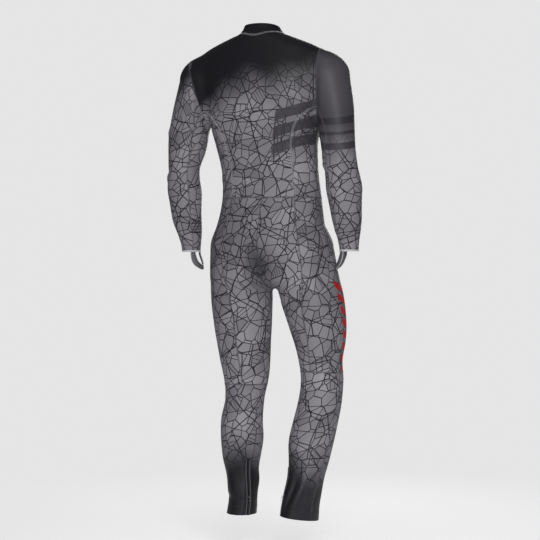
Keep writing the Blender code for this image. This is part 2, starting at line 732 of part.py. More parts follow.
def upper_body(cloth):
    """Back, side backs and fronts, from the waist seam up to the neck and the armholes."""
    neck = neck_ring()
    holes = {side: armhole(side) for side in ("left", "right")}
    back_seams, side_seams, shoulders = {}, {}, {}
    for side, ring in holes.items():
        sign = side_sign(side)
        corners = [trunk_point(sign * angle, height) for angle, height in BACK_SEAM_ROUTE]
        back_seams[side] = seam(corners + [ring[ARMHOLE_TO_BACK_SEAM]], SIDE_STEPS)
        corners = [trunk_point(sign * angle, height) for angle, height in SIDE_SEAM_ROUTE]
        side_seams[side] = seam(corners + [ring[ARMHOLE_TO_SIDE_SEAM]], SIDE_STEPS)
        neck_end = neck[NECK_TO_SHOULDER if sign > 0 else NECK_STEPS - NECK_TO_SHOULDER]
        shoulders[side] = seam([neck_end, ring[0]], SHOULDER_STEPS)

    waist = waist_rings()
    up_left = np.concatenate([back_seams["left"], holes["left"][ARMHOLE_TO_BACK_SEAM - 1 :: -1]])
    up_right = np.concatenate([back_seams["right"], holes["right"][ARMHOLE_TO_BACK_SEAM - 1 :: -1]])
    nape = np.concatenate([neck[NECK_TO_SHOULDER:0:-1], neck[:1], neck[: -NECK_TO_SHOULDER - 1 : -1]])
    top = np.concatenate([shoulders["left"][:0:-1], nape, shoulders["right"][1:]])
    bottom = np.concatenate(
        [waist["left"][CENTRE_BACK_STEPS::-1], waist["right"][1 : CENTRE_BACK_STEPS + 1]]
    )
    wall("back", patch(bottom, top, up_left, up_right), cloth)

    half = NECK_STEPS // 2
    for side, ring in holes.items():
        sign = side_sign(side)
        behind = waist[side][CENTRE_BACK_STEPS : CENTRE_BACK_STEPS + SIDE_BACK_STEPS + 1]
        under = ring[ARMHOLE_TO_BACK_SEAM : ARMHOLE_TO_SIDE_SEAM + 1]
        grid = patch(behind, under, back_seams[side], side_seams[side])
        wall("side_back_" + side, facing(grid, side), cloth)

        around = neck if sign > 0 else np.roll(neck[::-1], 1, axis=0)
        throat = np.concatenate([around[half:NECK_TO_SHOULDER:-1], shoulders[side]])
        outer = np.concatenate([side_seams[side], ring[ARMHOLE_TO_SIDE_SEAM + 1 :], ring[:1]])
        centre = front_line(WAIST_SEAM, around[half], len(outer) - 1)
        front = waist[side][-1 : -FRONT_STEPS - 2 : -1]
        grid = patch(front, throat, centre, outer)
        wall("front_" + side, facing(grid[:, ::-1], side), cloth)
    return neck, centre


def facing(grid, side):
    """The same grid with its columns running so that its faces point out on either side."""
    return grid if side == "right" else grid[:, ::-1]


def front_line(low, top, count):
    """The middle of the front, from a height up to the throat."""
    heights = np.linspace(low, top[2], 60)
    size = TRUNK.at(heights)
    guess = np.stack([heights * 0, size["y"] - size["front"], heights], axis=1)
    plane = np.tile([1.0, 0, 0], (60, 1))
    line = onto_figure(resample(onto_figure(guess, plane), count), plane[: count + 1])
    line[-1] = top
    return line


def waist_rings():
    """The waist seam's corners for each half, from the middle of the back to the middle in front."""
    rings = {}
    for side in ("left", "right"):
        sign = side_sign(side)
        angles = np.concatenate(
            [
                np.linspace(0, PRINCESS, CENTRE_BACK_STEPS + 1),
                np.linspace(PRINCESS, 90, SIDE_BACK_STEPS + 1)[1:],
                np.linspace(90, 180, FRONT_STEPS + 1)[1:],
            ]
        )
        rings[side] = trunk_ring(sign * angles, WAIST_SEAM)
        rings[side][[0, -1], 0] = 0
    return rings


def build_collar(neck, cloth):
    """The stand-up collar, open at the zip."""
    top = collar_top()
    rings = [neck]
    for row in range(1, COLLAR_ROWS):
        share = row / COLLAR_ROWS
        rings.append(onto_figure(neck + (top - neck) * share))
    rings.append(top)
    half = NECK_STEPS // 2
    grid = np.array([np.concatenate([ring[half:], ring[: half + 1]]) for ring in rings])
    wall("collar", grid[:, ::-1], cloth, "bottom left right", COLLAR_CLOTH, COLLAR_INSET)
    return grid[:, 0]


def build_sleeve(side, cloth):
    """An outer and an under panel, from the armhole to the cuff."""
    rings = sleeve_rings(side)
    back = ARMHOLE_TO_BACK_SEAM
    front = SLEEVE_FRONT_SEAM
    outer = np.concatenate([rings[:, front:], rings[:, : back + 1]], axis=1)
    under = rings[:, back : front + 1]
    for name, grid in (("sleeve_outer_", outer), ("sleeve_under_", under)):
        wall(name + side, facing(grid[::-1], side)[:, ::-1], cloth, edges="top left right")
    return rings[-1]


def build_leg(side, cloth):
    """Seat, hip and front panels down to the knee, then the lower leg's back and front."""
    sign = side_sign(side)
    pose = LEG_POSE[side]
    waist = waist_rings()[side]
    back_steps = CENTRE_BACK_STEPS + SIDE_BACK_STEPS
    levels = np.linspace(THIGH_TOP, KNEE_SEAM[side], THIGH_ROWS + 1)
    inner_back = np.linspace(-90, 0, CENTRE_BACK_STEPS + 1)
    back_angles = sign * np.concatenate([inner_back, np.linspace(0, 90, SIDE_BACK_STEPS + 1)[1:]])
    front_angles = np.linspace(sign * 90, sign * 270, FRONT_STEPS + 1)
    back_rings = [level_ring(LEG_CUT, pose, level, back_angles) for level in levels]
    front_rings = [level_ring(LEG_CUT, pose, level, front_angles) for level in levels]

    back_centre = centre_line(WAIST_SEAM, SEAT_ROWS - INSEAM_ROWS)
    front_centre = centre_line(WAIST_SEAM, SEAT_ROWS - INSEAM_ROWS, front=True)
    inseam = seam([back_centre[-1], back_rings[0][0]], INSEAM_ROWS)
    on_hip = trunk_point(sign * 90, HIP_HEIGHT)
    on_thigh = level_ring(LEG_CUT, pose, SIDE_SEAM_THIGH[1], [sign * SIDE_SEAM_THIGH[0]])[0]
    side_line = seam([waist[back_steps], on_hip, on_thigh, back_rings[0][-1]], SEAT_ROWS)
    on_seat = trunk_point(sign * PRINCESS_SEAT, HIP_HEIGHT)
    on_thigh = level_ring(LEG_CUT, pose, PRINCESS_THIGH[1], [sign * PRINCESS_THIGH[0]])[0]
    ends = waist[CENTRE_BACK_STEPS], back_rings[0][CENTRE_BACK_STEPS]
    princess = seam([ends[0], on_seat, on_thigh, ends[1]], SEAT_ROWS)
    middle = np.concatenate([back_centre, inseam[1:]])
    seat = patch(waist[: CENTRE_BACK_STEPS + 1], back_rings[0][: CENTRE_BACK_STEPS + 1], middle, princess)
    hip = patch(
        waist[CENTRE_BACK_STEPS : back_steps + 1], back_rings[0][CENTRE_BACK_STEPS:], princess, side_line
    )
    seat = np.concatenate([seat, np.array(back_rings[1:])[:, : CENTRE_BACK_STEPS + 1]])
    hip = np.concatenate([hip, np.array(back_rings[1:])[:, CENTRE_BACK_STEPS:]])
    hip_front = patch(
        waist[back_steps:],
        front_rings[0],
        side_line,
        np.concatenate([front_centre, inseam[1:]]),
    )
    front = np.concatenate([hip_front, np.array(front_rings[1:])])
    wall("seat_" + side, facing(seat[::-1], side), cloth)
    wall("hip_" + side, facing(hip[::-1], side), cloth)
    wall("thigh_front_" + side, facing(front[::-1], side), cloth)

    levels = np.linspace(KNEE_SEAM[side], 0, SHIN_ROWS + 1)
    calf = np.array([level_ring(LEG_CUT, pose, level, back_angles) for level in levels])
    shin = np.array([level_ring(LEG_CUT, pose, level, front_angles) for level in levels])
    wall("calf_" + side, facing(calf[::-1], side), cloth, edges="top left right")
    wall("shin_" + side, facing(shin[::-1], side), cloth, edges="top left right")
    column = round((ANKLE_ZIP_ANGLE + 90) / 90 * CENTRE_BACK_STEPS)
    first = round((1 - ANKLE_ZIP_TOP / KNEE_SEAM[side]) * SHIN_ROWS)
    return front_centre, calf[first:, column]


def strip(half_width, low, high):
    """A flat strip's cross-section, between two heights above the skin."""
    return [(-half_width, low), (half_width, low), (half_width, high), (-half_width, high)]


def on_cloth(line):
    """A line of panel corners as it runs on the creased cloth, and the skin's normals along it."""
    normals = skin_normals(line)
    return line + fold_lift(line)[:, None] * normals, normals


def build_cuff(side, ring, elastic, cloth):
    """The elastic round a cuff, and the loop below it that holds the sleeve down on the thumb."""
    below = ring - [0, 0, SEAM_GAP + BINDING / 2]
    line, normals = on_cloth(below)
    band("cuff_binding_" + side, line, normals, strip(BINDING / 2, 0, 0.0021), elastic, closed=True)
    sign = side_sign(side)
    path = Sections("mark angle drop spread width", THUMB_LOOP).at(np.linspace(0, 1, THUMB_LOOP_STEPS + 1))
    placed = ARM_POSE[side].at(np.array([CUFF]))
    turn = np.radians(path["angle"]) * sign
    away = np.stack([np.sin(turn), np.cos(turn), turn * 0], axis=1)
    reach = THUMB_LOOP_REACH + path["spread"]
    line = np.array([placed["x"][0], placed["y"][0], CUFF]) + away * reach[:, None]
    line[:, 2] -= path["drop"] + SEAM_GAP * 3 + BINDING
    half = path["width"] / 2
    band("thumb_loop_" + side, line, away, strip(1.0, 0, 0.0012), cloth, widths=half)


def frame_at(line, normals, row, tail):
    """A small part's place on a zip: its origin and the directions across, along and outwards."""
    along = line[tail] - line[row]
    along = along / np.linalg.norm(along)
    out = normals[row] - (normals[row] @ along) * along
    out = out / np.linalg.norm(out)
    return line[row], np.array([np.cross(along, out), along, out])


def block(corner_low, corner_high):
    low, high = np.array(corner_low, float), np.array(corner_high, float)
    corners = np.array([[x, y, z] for x in (0, 1) for y in (0, 1) for z in (0, 1)])
    faces = [[0, 1, 3, 2], [4, 6, 7, 5], [0, 4, 5, 1], [2, 3, 7, 6], [0, 2, 6, 4], [1, 5, 7, 3]]
    return low + corners * (high - low), faces


def pin(half_length, radius, height, sides=12):
    turn = np.arange(sides) * 2 * math.pi / sides
    ring = np.stack([turn * 0, radius * np.cos(turn), height + radius * np.sin(turn)], axis=1)
    points = np.concatenate([ring - [half_length, 0, 0], ring + [half_length, 0, 0]])
    faces = [list(range(sides))[::-1], list(range(sides, 2 * sides))]
    faces += [[k, (k + 1) % sides, sides + (k + 1) % sides, sides + k] for k in range(sides)]
    return points, faces


def placed_points(points, origin, axes, scale):
    return settle_rigid(origin, np.array(points) * scale @ axes)


def settle_rigid(origin, offsets):
    """Small hard parts keep their shape: only their origin is settled."""
    return settle(origin[None])[0] + offsets


def build_slider(name, origin, axes, scale, base, metal):
    """A slider: a block with two cheeks that hold the pull's pin. Local axes: across, along, out."""
    top = base + 0.0028
    height = top + 0.0019
    parts = [
        block((-0.0042, -0.0055, base), (0.0042, 0.0055, top)),
        block((-0.0036, -0.0018, base + 0.001), (-0.0026, 0.0018, height + 0.0012)),
        block((0.0026, -0.0018, base + 0.001), (0.0036, 0.0018, height + 0.0012)),
        pin(0.0031, 0.0006, height),
    ]
    made = []
    for number, (points, faces) in enumerate(parts):
        made.append(closed_mesh(f"{name}_{number}", placed_points(points, origin, axes, scale), faces, metal))
    whole = made[0]
    for other in made[1:]:
        joined = whole.modifiers.new("union", "BOOLEAN")
        joined.operation = "UNION"
        joined.object = other
    bpy.context.view_layer.update()
    merged = bpy.data.meshes.new_from_object(whole.evaluated_get(bpy.context.evaluated_depsgraph_get()))
    for other in made:
        bpy.data.objects.remove(other)
    slider = bpy.data.objects.new(name, merged)
    SUIT.objects.link(slider)
    return height


def build_pull(name, origin, axes, scale, height, length, metal):
    """A pull tab: a barrel round the slider's pin, with a flat tail."""
    sides = 16
    turn = (np.arange(sides) + 0.5) * 2 * math.pi / sides
    inner = np.stack([0.0009 * np.cos(turn), 0.0009 * np.sin(turn)], axis=1)
    outer = np.stack([0.0016 * np.cos(turn), 0.0016 * np.sin(turn)], axis=1)
    outer[0] = [length, 0.0005]
    outer[-1] = [length, -0.0005]
    outer[1] = [0.0014, 0.0006]
    outer[-2] = [0.0014, -0.0006]
    points = []
    for across in (-0.0021, 0.0021):
        for loop in (outer, inner):
            points += [[across, y, height + z] for y, z in loop]
    faces = []
    for k in range(sides):
        n = (k + 1) % sides
        faces.append([k, n, sides + n, sides + k])
        faces.append([2 * sides + k, 3 * sides + k, 3 * sides + n, 2 * sides + n])
        faces.append([k, 2 * sides + k, 2 * sides + n, n])
        faces.append([sides + k, sides + n, 3 * sides + n, 3 * sides + k])
    closed_mesh(name, placed_points(points, origin, axes, scale), faces, metal)


def build_zip(name, line, slider_row, tail_row, size, finishes, padding=0.0):
    """Tape, teeth, slider and pull tab along a line of panel corners."""
    tape, teeth, metal = finishes
    scale = 0.8 if size == "small" else 1.0
    line, normals = on_cloth(line)
    line = line + np.reshape(padding, (-1, 1)) * normals
    clear = CLOTH + SEAM_GAP
    tape_top = clear + 0.0007
    if size == "large":
        profile = strip(0.012, clear, tape_top)
    else:
        ridge = tape_top + 0.0010
        profile = [(0.0075, clear), (0.0078, tape_top), (0.0072, ridge), (0.0052, ridge), (0.0040, tape_top)]
        profile = [(-across, out) for across, out in profile] + profile[::-1]
    band(name + "_tape", line, normals, profile, tape)
    teeth_low = tape_top + SEAM_GAP
    band(name + "_teeth", line, normals, strip(0.0027 * scale, teeth_low, teeth_low + 0.0011), teeth)
    origin, axes = frame_at(line, normals, slider_row, tail_row)
    base = (teeth_low + 0.0011 + SEAM_GAP) / scale + 0.0006
    height = build_slider(name + "_slider", origin, axes, scale, base, metal)
    build_pull(name + "_pull", origin, axes, scale, height, PULL_LENGTH, metal)
    hinge = placed_points([[0, 0, height]], origin, axes, scale)[0]
    print("hinge", name, [round(float(v), 5) for v in hinge], [round(float(v), 5) for v in axes[0]])


for old in list(bpy.data.objects):
    bpy.data.objects.remove(old)
SUIT = bpy.data.collections.new("ski_race_suit")
bpy.context.scene.collection.children.link(SUIT)
KNIT = material("stretch_knit", (0.13, 0.13, 0.14), 0.5)
ELASTIC = material("pale_elastic", (0.55, 0.55, 0.56), 0.6)
TAPE = material("zip_tape", (0.03, 0.03, 0.033), 0.7)
TEETH = material("zip_teeth", (0.02, 0.02, 0.022), 0.35)
METAL = material("zip_metal", (0.25, 0.25, 0.26), 0.3, 1.0)
NECK_RING, THROAT_LINES = upper_body(KNIT)
COLLAR_FRONT = build_collar(NECK_RING, KNIT)
for SIDE in ("left", "right"):
    build_cuff(SIDE, build_sleeve(SIDE, KNIT), ELASTIC, KNIT)
    FRONT_CENTRE, ANKLE_LINE = build_leg(SIDE, KNIT)
    build_zip("ankle_zip_" + SIDE, ANKLE_LINE, -3, -2, "small", (TAPE, TEETH, METAL))
BELLY = FRONT_CENTRE[FRONT_CENTRE[:, 2] > ZIP_FOOT]
FRONT_LINE = np.concatenate([BELLY[:0:-1], THROAT_LINES, COLLAR_FRONT[1:]])
ON_COLLAR = (np.arange(len(FRONT_LINE))[::-1] <= COLLAR_ROWS) * (COLLAR_CLOTH - CLOTH)
build_zip("front_zip", FRONT_LINE, -2, -3, "large", (TAPE, TEETH, METAL), ON_COLLAR)
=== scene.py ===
# %% [markdown]
# # A ski race suit, dressed
#
# A race suit is a second skin: panels of stretch knit, sewn edge to edge with flat seams, and closed
# by a zip in front and one at each ankle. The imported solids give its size, its pose and what moves.
# This script lays a finer cloth over the same form, prints it, sews it and lights it.

import json
import math

import bmesh
import bpy
import numpy as np
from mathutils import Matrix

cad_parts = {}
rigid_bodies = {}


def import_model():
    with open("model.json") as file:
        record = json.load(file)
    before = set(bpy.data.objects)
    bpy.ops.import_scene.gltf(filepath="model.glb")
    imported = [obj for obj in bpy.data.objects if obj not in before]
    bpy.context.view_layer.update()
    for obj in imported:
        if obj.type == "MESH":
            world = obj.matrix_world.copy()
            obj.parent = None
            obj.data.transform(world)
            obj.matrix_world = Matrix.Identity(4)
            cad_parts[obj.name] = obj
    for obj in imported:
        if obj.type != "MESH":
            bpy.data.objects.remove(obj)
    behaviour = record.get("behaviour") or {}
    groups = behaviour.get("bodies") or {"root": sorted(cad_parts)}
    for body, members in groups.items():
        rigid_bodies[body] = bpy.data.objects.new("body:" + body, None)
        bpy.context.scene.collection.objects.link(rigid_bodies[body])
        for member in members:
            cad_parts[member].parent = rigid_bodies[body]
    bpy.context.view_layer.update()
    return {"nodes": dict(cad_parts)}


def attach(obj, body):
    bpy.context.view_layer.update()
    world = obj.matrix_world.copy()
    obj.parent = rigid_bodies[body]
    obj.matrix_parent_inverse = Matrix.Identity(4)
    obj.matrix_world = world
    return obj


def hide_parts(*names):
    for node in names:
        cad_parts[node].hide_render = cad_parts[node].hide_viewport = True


for left_over in list(bpy.data.objects):
    bpy.data.objects.remove(left_over)
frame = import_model()

# %% [markdown]
# ## Camera
#
# Heights on the suit are counted from the hems, but the frame starts at the collar seam. One vector
# takes us from one to the other. The camera looks level at the suit's back from 20 degrees to the
# wearer's right, through a long lens, so that the legs don't look shorter than the arms.

# %% Where the frame starts, and the camera
COLLAR_SEAM = np.array([0.008, 0.046, 1.415])
VIEW_AZIMUTH = 200
VIEW_DISTANCE = 5.0
VIEW_HEIGHT = 0.731
VIEW_WIDTH = 1.62


def around(azimuth, elevation, distance):
    """A place round the suit's upright axis. Azimuth 0 is in front of the wearer."""
    turn, rise = math.radians(azimuth), math.radians(elevation)
    level = distance * math.cos(rise)
    place = [level * math.sin(turn), -level * math.cos(turn), VIEW_HEIGHT + distance * math.sin(rise)]
    return np.array(place) - COLLAR_SEAM


camera = bpy.data.cameras.new("camera")
camera.sensor_width = 36
camera.lens = camera.sensor_width * VIEW_DISTANCE / VIEW_WIDTH
viewer = bpy.data.objects.new("camera", camera)
viewer.location = around(VIEW_AZIMUTH, 0, VIEW_DISTANCE)
viewer.rotation_euler = (math.radians(90), 0, math.radians(VIEW_AZIMUTH))
bpy.context.scene.collection.objects.link(viewer)
bpy.context.scene.camera = viewer
print("camera:", round(camera.lens, 1), "mm lens,", VIEW_DISTANCE, "m away")

# %% [markdown]
# ## The form under the cloth
#
# The suit takes the shape of a plain standing figure. We never model that figure as a mesh. It is a
# distance: a function that says how far any point lies outside it. A trunk, two legs and two arms
# are columns of level sections, and a soft minimum melts them into one. Cloth points are then slid
# down the slope of that distance until they lie on the skin, at any fineness we like.

# %% Sizes by height
FINE = 5  # how many small facets the cloth has along each facet of the solids
CLOTH = 0.0015
COLLAR_CLOTH = 0.0022
SEAM_GAP = 0.0003
WAIST_SEAM = 0.946
KNEE_SEAM = {"left": 0.387, "right": 0.428}
CUFF = 0.792
SIGN = {"left": 1, "right": -1}


class Sections:
    """Sizes given at a few heights, with a smooth curve through each column."""

    def __init__(self, columns, rows):
        ordered = sorted(rows)
        self.columns = columns.split()[1:]
        self.heights = np.array([row[0] for row in ordered])
        self.values = np.array([row[1:] for row in ordered])
        self.slopes = np.gradient(self.values, self.heights, axis=0)

    def at(self, heights):
        heights = np.clip(heights, self.heights[0], self.heights[-1])
        row = np.searchsorted(self.heights, heights, side="right") - 1
        row = np.clip(row, 0, len(self.heights) - 2)
        span = self.heights[row + 1] - self.heights[row]
        t = ((heights - self.heights[row]) / span)[..., None]
        span = span[..., None]
        ease = t * t * (3 - 2 * t)
        values = self.values[row] * (1 - ease) + self.values[row + 1] * ease
        values = values + span * t * (1 - t) * ((1 - t) * self.slopes[row] - t * self.slopes[row + 1])
        return dict(zip(self.columns, np.moveaxis(values, -1, 0)))


TRUNK = Sections(
    "height x y side front back",
    [
        (0.72, 0, -0.030, 0.160, 0.104, 0.104),
        (0.76, 0.002, -0.022, 0.169, 0.112, 0.118),
        (0.80, 0.004, -0.015, 0.172, 0.116, 0.124),
        (0.85, 0.004, -0.015, 0.165, 0.112, 0.120),
        (0.90, 0.002, -0.019, 0.157, 0.106, 0.106),
        (0.946, 0.001, -0.018, 0.151, 0.103, 0.094),
        (1.00, 0.0015, -0.010, 0.147, 0.102, 0.084),
        (1.05, 0.002, 0.005, 0.148, 0.106, 0.084),
        (1.10, 0.003, 0.022, 0.153, 0.114, 0.090),
        (1.16, 0.002, 0.036, 0.166, 0.122, 0.102),
        (1.22, 0, 0.044, 0.176, 0.126, 0.110),
        (1.28, 0, 0.049, 0.186, 0.120, 0.111),
        (1.32, 0, 0.051, 0.192, 0.106, 0.104),
        (1.35, 0, 0.052, 0.193, 0.088, 0.093),
        (1.366, 0, 0.052, 0.190, 0.078, 0.085),
        (1.383, 0, 0.052, 0.173, 0.069, 0.078),
        (1.401, 0, 0.051, 0.137, 0.061, 0.071),
        (1.419, 0, 0.049, 0.094, 0.056, 0.064),
        (1.431, 0, 0.047, 0.064, 0.054, 0.059),
        (1.440, 0, 0.046, 0.056, 0.053, 0.054),
        (1.456, 0, 0.046, 0.0485, 0.050, 0.049),
        (1.480, 0, 0.046, 0.0460, 0.048, 0.046),
    ],
)
LEG_CUT = Sections(
    "height side front back",
    [
        (0.00, 0.0430, 0.060, 0.064),
        (0.06, 0.0438, 0.056, 0.062),
        (0.12, 0.0465, 0.054, 0.060),
        (0.17, 0.0560, 0.056, 0.066),
        (0.225, 0.0630, 0.060, 0.076),
        (0.28, 0.0612, 0.062, 0.073),
        (0.345, 0.0590, 0.065, 0.063),
        (0.40, 0.0645, 0.070, 0.064),
        (0.46, 0.0700, 0.077, 0.073),
        (0.52, 0.0790, 0.085, 0.083),
        (0.58, 0.0870, 0.091, 0.092),
        (0.66, 0.0920, 0.096, 0.099),
        (0.72, 0.0900, 0.095, 0.098),
        (0.80, 0.0830, 0.085, 0.090),
    ],
)
ARM_CUT = Sections(
    "height side front back",
    [
        (0.73, 0.0260, 0.030, 0.030),
        (0.79, 0.0260, 0.030, 0.030),
        (0.82, 0.0300, 0.034, 0.034),
        (0.85, 0.0370, 0.039, 0.039),
        (0.88, 0.0425, 0.043, 0.043),
        (0.91, 0.0455, 0.046, 0.046),
        (0.94, 0.0490, 0.049, 0.049),
        (0.97, 0.0520, 0.051, 0.051),
        (1.00, 0.0500, 0.050, 0.052),
        (1.03, 0.0490, 0.049, 0.052),
        (1.06, 0.0510, 0.050, 0.052),
        (1.11, 0.0545, 0.054, 0.054),
        (1.18, 0.0560, 0.058, 0.058),
        (1.24, 0.0570, 0.062, 0.061),
        (1.30, 0.0590, 0.066, 0.064),
    ],
)

# %% [markdown]
# ## The pose
#
# The weight is on the left leg. The right knee bends, so that calf swings back and turns out. The
# sleeves hang a little clear of the hips. Each limb's middle is a line of places by height, with
# how far it turns and how much its cloth eases in or out there.

# %% The pose
LEG_POSE = {
    "left": Sections(
        "height x y turn ease",
        [
            (0.00, 0.090, 0.002, 15, 0),
            (0.04, 0.086, 0.000, 15, -0.002),
            (0.09, 0.089, -0.004, 14, 0),
            (0.15, 0.095, -0.010, 13, 0),
            (0.22, 0.095, -0.016, 12, 0),
            (0.28, 0.098, -0.022, 11, 0),
            (0.34, 0.094, -0.036, 10, -0.001),
            (0.40, 0.093, -0.045, 9, 0.002),
            (0.46, 0.097, -0.045, 7, 0.005),
            (0.52, 0.100, -0.042, 5, 0.002),
            (0.64, 0.103, -0.035, 2, 0),
            (0.72, 0.104, -0.032, 0, 0),
            (0.80, 0.097, -0.028, 0, 0),
        ],
    ),
    "right": Sections(
        "height x y turn ease",
        [
            (0.00, -0.1225, 0.080, -28, 0),
            (0.04, -0.126, 0.076, -28, 0),
            (0.10, -0.1345, 0.064, -26, 0),
            (0.16, -0.1405, 0.048, -24, 0),
            (0.22, -0.143, 0.028, -22, 0),
            (0.28, -0.1475, 0.004, -20, 0.002),
            (0.34, -0.151, -0.020, -17, 0.003),
            (0.40, -0.152, -0.036, -14, -0.003),
            (0.46, -0.146, -0.040, -11, -0.007),
            (0.52, -0.144, -0.038, -8, -0.003),
            (0.58, -0.136, -0.035, -6, 0),
            (0.64, -0.124, -0.032, -4, 0.002),
            (0.72, -0.108, -0.030, -2, 0),
            (0.80, -0.095, -0.028, 0, 0),
        ],
    ),
}
ARM_POSE = {
    "left": Sections(
        "height x y turn ease",
        [
            (0.73, 0.255, -0.006, 0, 0),
            (0.79, 0.255, 0.000, 0, 0),
            (0.82, 0.255, 0.004, 0, 0),
            (0.88, 0.260, 0.020, 0, 0),
            (0.94, 0.260, 0.035, 0, -0.001),
            (1.00, 0.259, 0.048, 0, -0.0025),
            (1.035, 0.257, 0.052, 0, -0.0035),
            (1.09, 0.246, 0.054, 0, 0.002),
            (1.145, 0.239, 0.055, 0, 0.004),
            (1.20, 0.229, 0.055, 0, 0.0025),
            (1.30, 0.204, 0.055, 0, 0),
        ],
    ),
    "right": Sections(
        "height x y turn ease",
        [
            (0.73, -0.248, -0.006, 0, 0),
            (0.79, -0.248, 0.000, 0, 0),
            (0.82, -0.248, 0.004, 0, 0),
            (0.88, -0.247, 0.018, 0, 0),
            (0.94, -0.2465, 0.035, 0, 0),
            (1.00, -0.2445, 0.048, 0, 0),
            (1.035, -0.239, 0.052, 0, -0.001),
            (1.09, -0.232, 0.054, 0, -0.0045),
            (1.145, -0.228, 0.055, 0, -0.0045),
            (1.20, -0.223, 0.055, 0, -0.003),
            (1.30, -0.204, 0.055, 0, 0),
        ],
    ),
}

# %% How far a point lies outside the form
TRUNK_ENDS = (0.72, 2.0)  # the heights between which each column runs
LEG_ENDS = (-1.0, 0.80)
ARM_ENDS = (0.5, 1.30)
TRUNK_CAP = 0.040  # how far a column's rounded end reaches past its last height
LIMB_CAP = 0.060
TRUNK_SQUARENESS = 2.3  # 2 is an ellipse
LIMB_SQUARENESS = 2.0
HIP_BLEND = 0.040
CROTCH_BLEND = 0.026
CROTCH_BLEND_FADES = (0.62, 0.67)
ARM_BLEND = 0.034
ARM_BLEND_FADES = (1.115, 1.205)
NO_BLEND = 0.0008


def smooth_step(value, low, high):
    share = np.clip((value - low) / (high - low), 0, 1)
    return share * share * (3 - 2 * share)


def limb_sections(cut, pose, heights):
    size, place = cut.at(heights), pose.at(heights)
    for width in ("side", "front", "back"):
        size[width] = size[width] + place["ease"]
    return {**size, **place}


def outside(points, size, ends, cap, squareness):
    x, y, height = points.T
    beyond = (np.maximum(height - ends[1], 0) + np.maximum(ends[0] - height, 0)) / cap
    turn = np.radians(size.get("turn", 0.0))
    dx, dy = x - size["x"], y - size["y"]
    across = dx * np.cos(turn) + dy * np.sin(turn)
    along = dy * np.cos(turn) - dx * np.sin(turn)
    depth = np.where(along < 0, size["front"], size["back"])
    total = np.abs(across / size["side"]) ** squareness
    total = total + np.abs(along / depth) ** squareness + beyond**squareness
    return (total ** (1 / squareness) - 1) * np.minimum(size["side"], depth)


def soft_union(first, second, softness):
    share = np.clip(0.5 + 0.5 * (second - first) / softness, 0, 1)
    return second + (first - second) * share - softness * share * (1 - share)


def form(points):
    """How far points lie outside the standing form."""
    height = points[:, 2]
    body = outside(points, TRUNK.at(height), TRUNK_ENDS, TRUNK_CAP, TRUNK_SQUARENESS)
    legs = []
    for pose in LEG_POSE.values():
        size = limb_sections(LEG_CUT, pose, height)
        legs.append(outside(points, size, LEG_ENDS, LIMB_CAP, LIMB_SQUARENESS))
    crotch = NO_BLEND + (CROTCH_BLEND - NO_BLEND) * smooth_step(height, *CROTCH_BLEND_FADES)
    body = soft_union(body, soft_union(*legs, crotch), HIP_BLEND)
    armpit = NO_BLEND + (ARM_BLEND - NO_BLEND) * smooth_step(height, *ARM_BLEND_FADES)
    for pose in ARM_POSE.values():
        size = limb_sections(ARM_CUT, pose, height)
        arm = outside(points, size, ARM_ENDS, LIMB_CAP, LIMB_SQUARENESS)
        body = soft_union(body, arm, armpit)
    return body


def slope_of(points, step=0.0002):
    """The form's distance at points, and the direction in which it grows."""
    probes = np.concatenate([points] + [points + axis for axis in np.eye(3) * step])
    here, *ahead = form(probes).reshape(4, -1)
    return here, np.stack([(there - here) / step for there in ahead], axis=1)


def onto_form(points, plane=None, steps=10):
    """Slides points to the skin. With plane normals, each stays in its own plane."""
    points = np.array(points, float)
    for _ in range(steps):
        distance, slope = slope_of(points)
        if plane is not None:
            slope = slope - (slope * plane).sum(1)[:, None] * plane
        step = distance / np.maximum((slope**2).sum(1), 0.05)
        points = points - np.clip(step, -0.02, 0.02)[:, None] * slope
    return points


def unit(vectors):
    return vectors / np.linalg.norm(vectors, axis=1)[:, None]


def skin_normals(points):
    return unit(slope_of(points.reshape(-1, 3))[1]).reshape(points.shape)


probe = onto_form([[0.0, 0.2, 1.2]])[0]
print("the form's back at 1.2 m is", round(float(probe[1]) * 1000), "mm behind its axis")

# %% [markdown]
# The form stands with its hems at height 0, and the frame counts from the collar seam. On the way
# from one to the other the left shoulder drops a little, the neck leans to the side, and the right
# hem tilts, because the turned leg pulls its inner side up.

# %% From the standing form to the frame
SHOULDER_DROP = 0.008
HEM_MIDDLE = (-0.126, 0.072)
HEM_INWARDS = (0.94, 0.342)
HEM_TILT = 0.145
HEM_RISE = 0.004
HEM_TILT_TOP = 0.130


def right_hem_rise(points):
    """The right hem isn't level: its inner side is pulled up. This fades out up the leg."""
    inwards = (points[..., :2] - HEM_MIDDLE) @ np.array(HEM_INWARDS)
    fade = 1 - smooth_step(points[..., 2], 0.0, HEM_TILT_TOP)
    return fade * (points[..., 0] < 0) * (HEM_RISE + HEM_TILT * np.clip(inwards, -0.07, 0.07))


def settle(points):
    """Drops the left shoulder, leans the neck, and counts from the collar seam as the frame does."""
    points = np.array(points, float)
    lean = COLLAR_SEAM[0] * smooth_step(points[..., 2], 1.30, 1.43)
    points[..., 2] -= SHOULDER_DROP * smooth_step(points[..., 2], 1.02, 1.30) * points[..., 0]
    points[..., 2] += right_hem_rise(points)
    points[..., 0] += lean
    return points - COLLAR_SEAM


# %% [markdown]
# ## Seam lines
#
# A panel's edges are seams, so the seams come first, and both neighbours read the same one. A seam
# is a smooth line through a few corners, slid onto the form and cut into equal steps.

# %% Lines on the form
UP = np.array([0, 0, 1.0])
FINE_STOPS = 160  # places along a line while it is being found


def steps_along(line):
    return np.linalg.norm(np.diff(line, axis=0), axis=1)


def walked_along(line):
    """The length from a line's start to each of its points."""
    return np.concatenate([[0], np.cumsum(steps_along(line))])


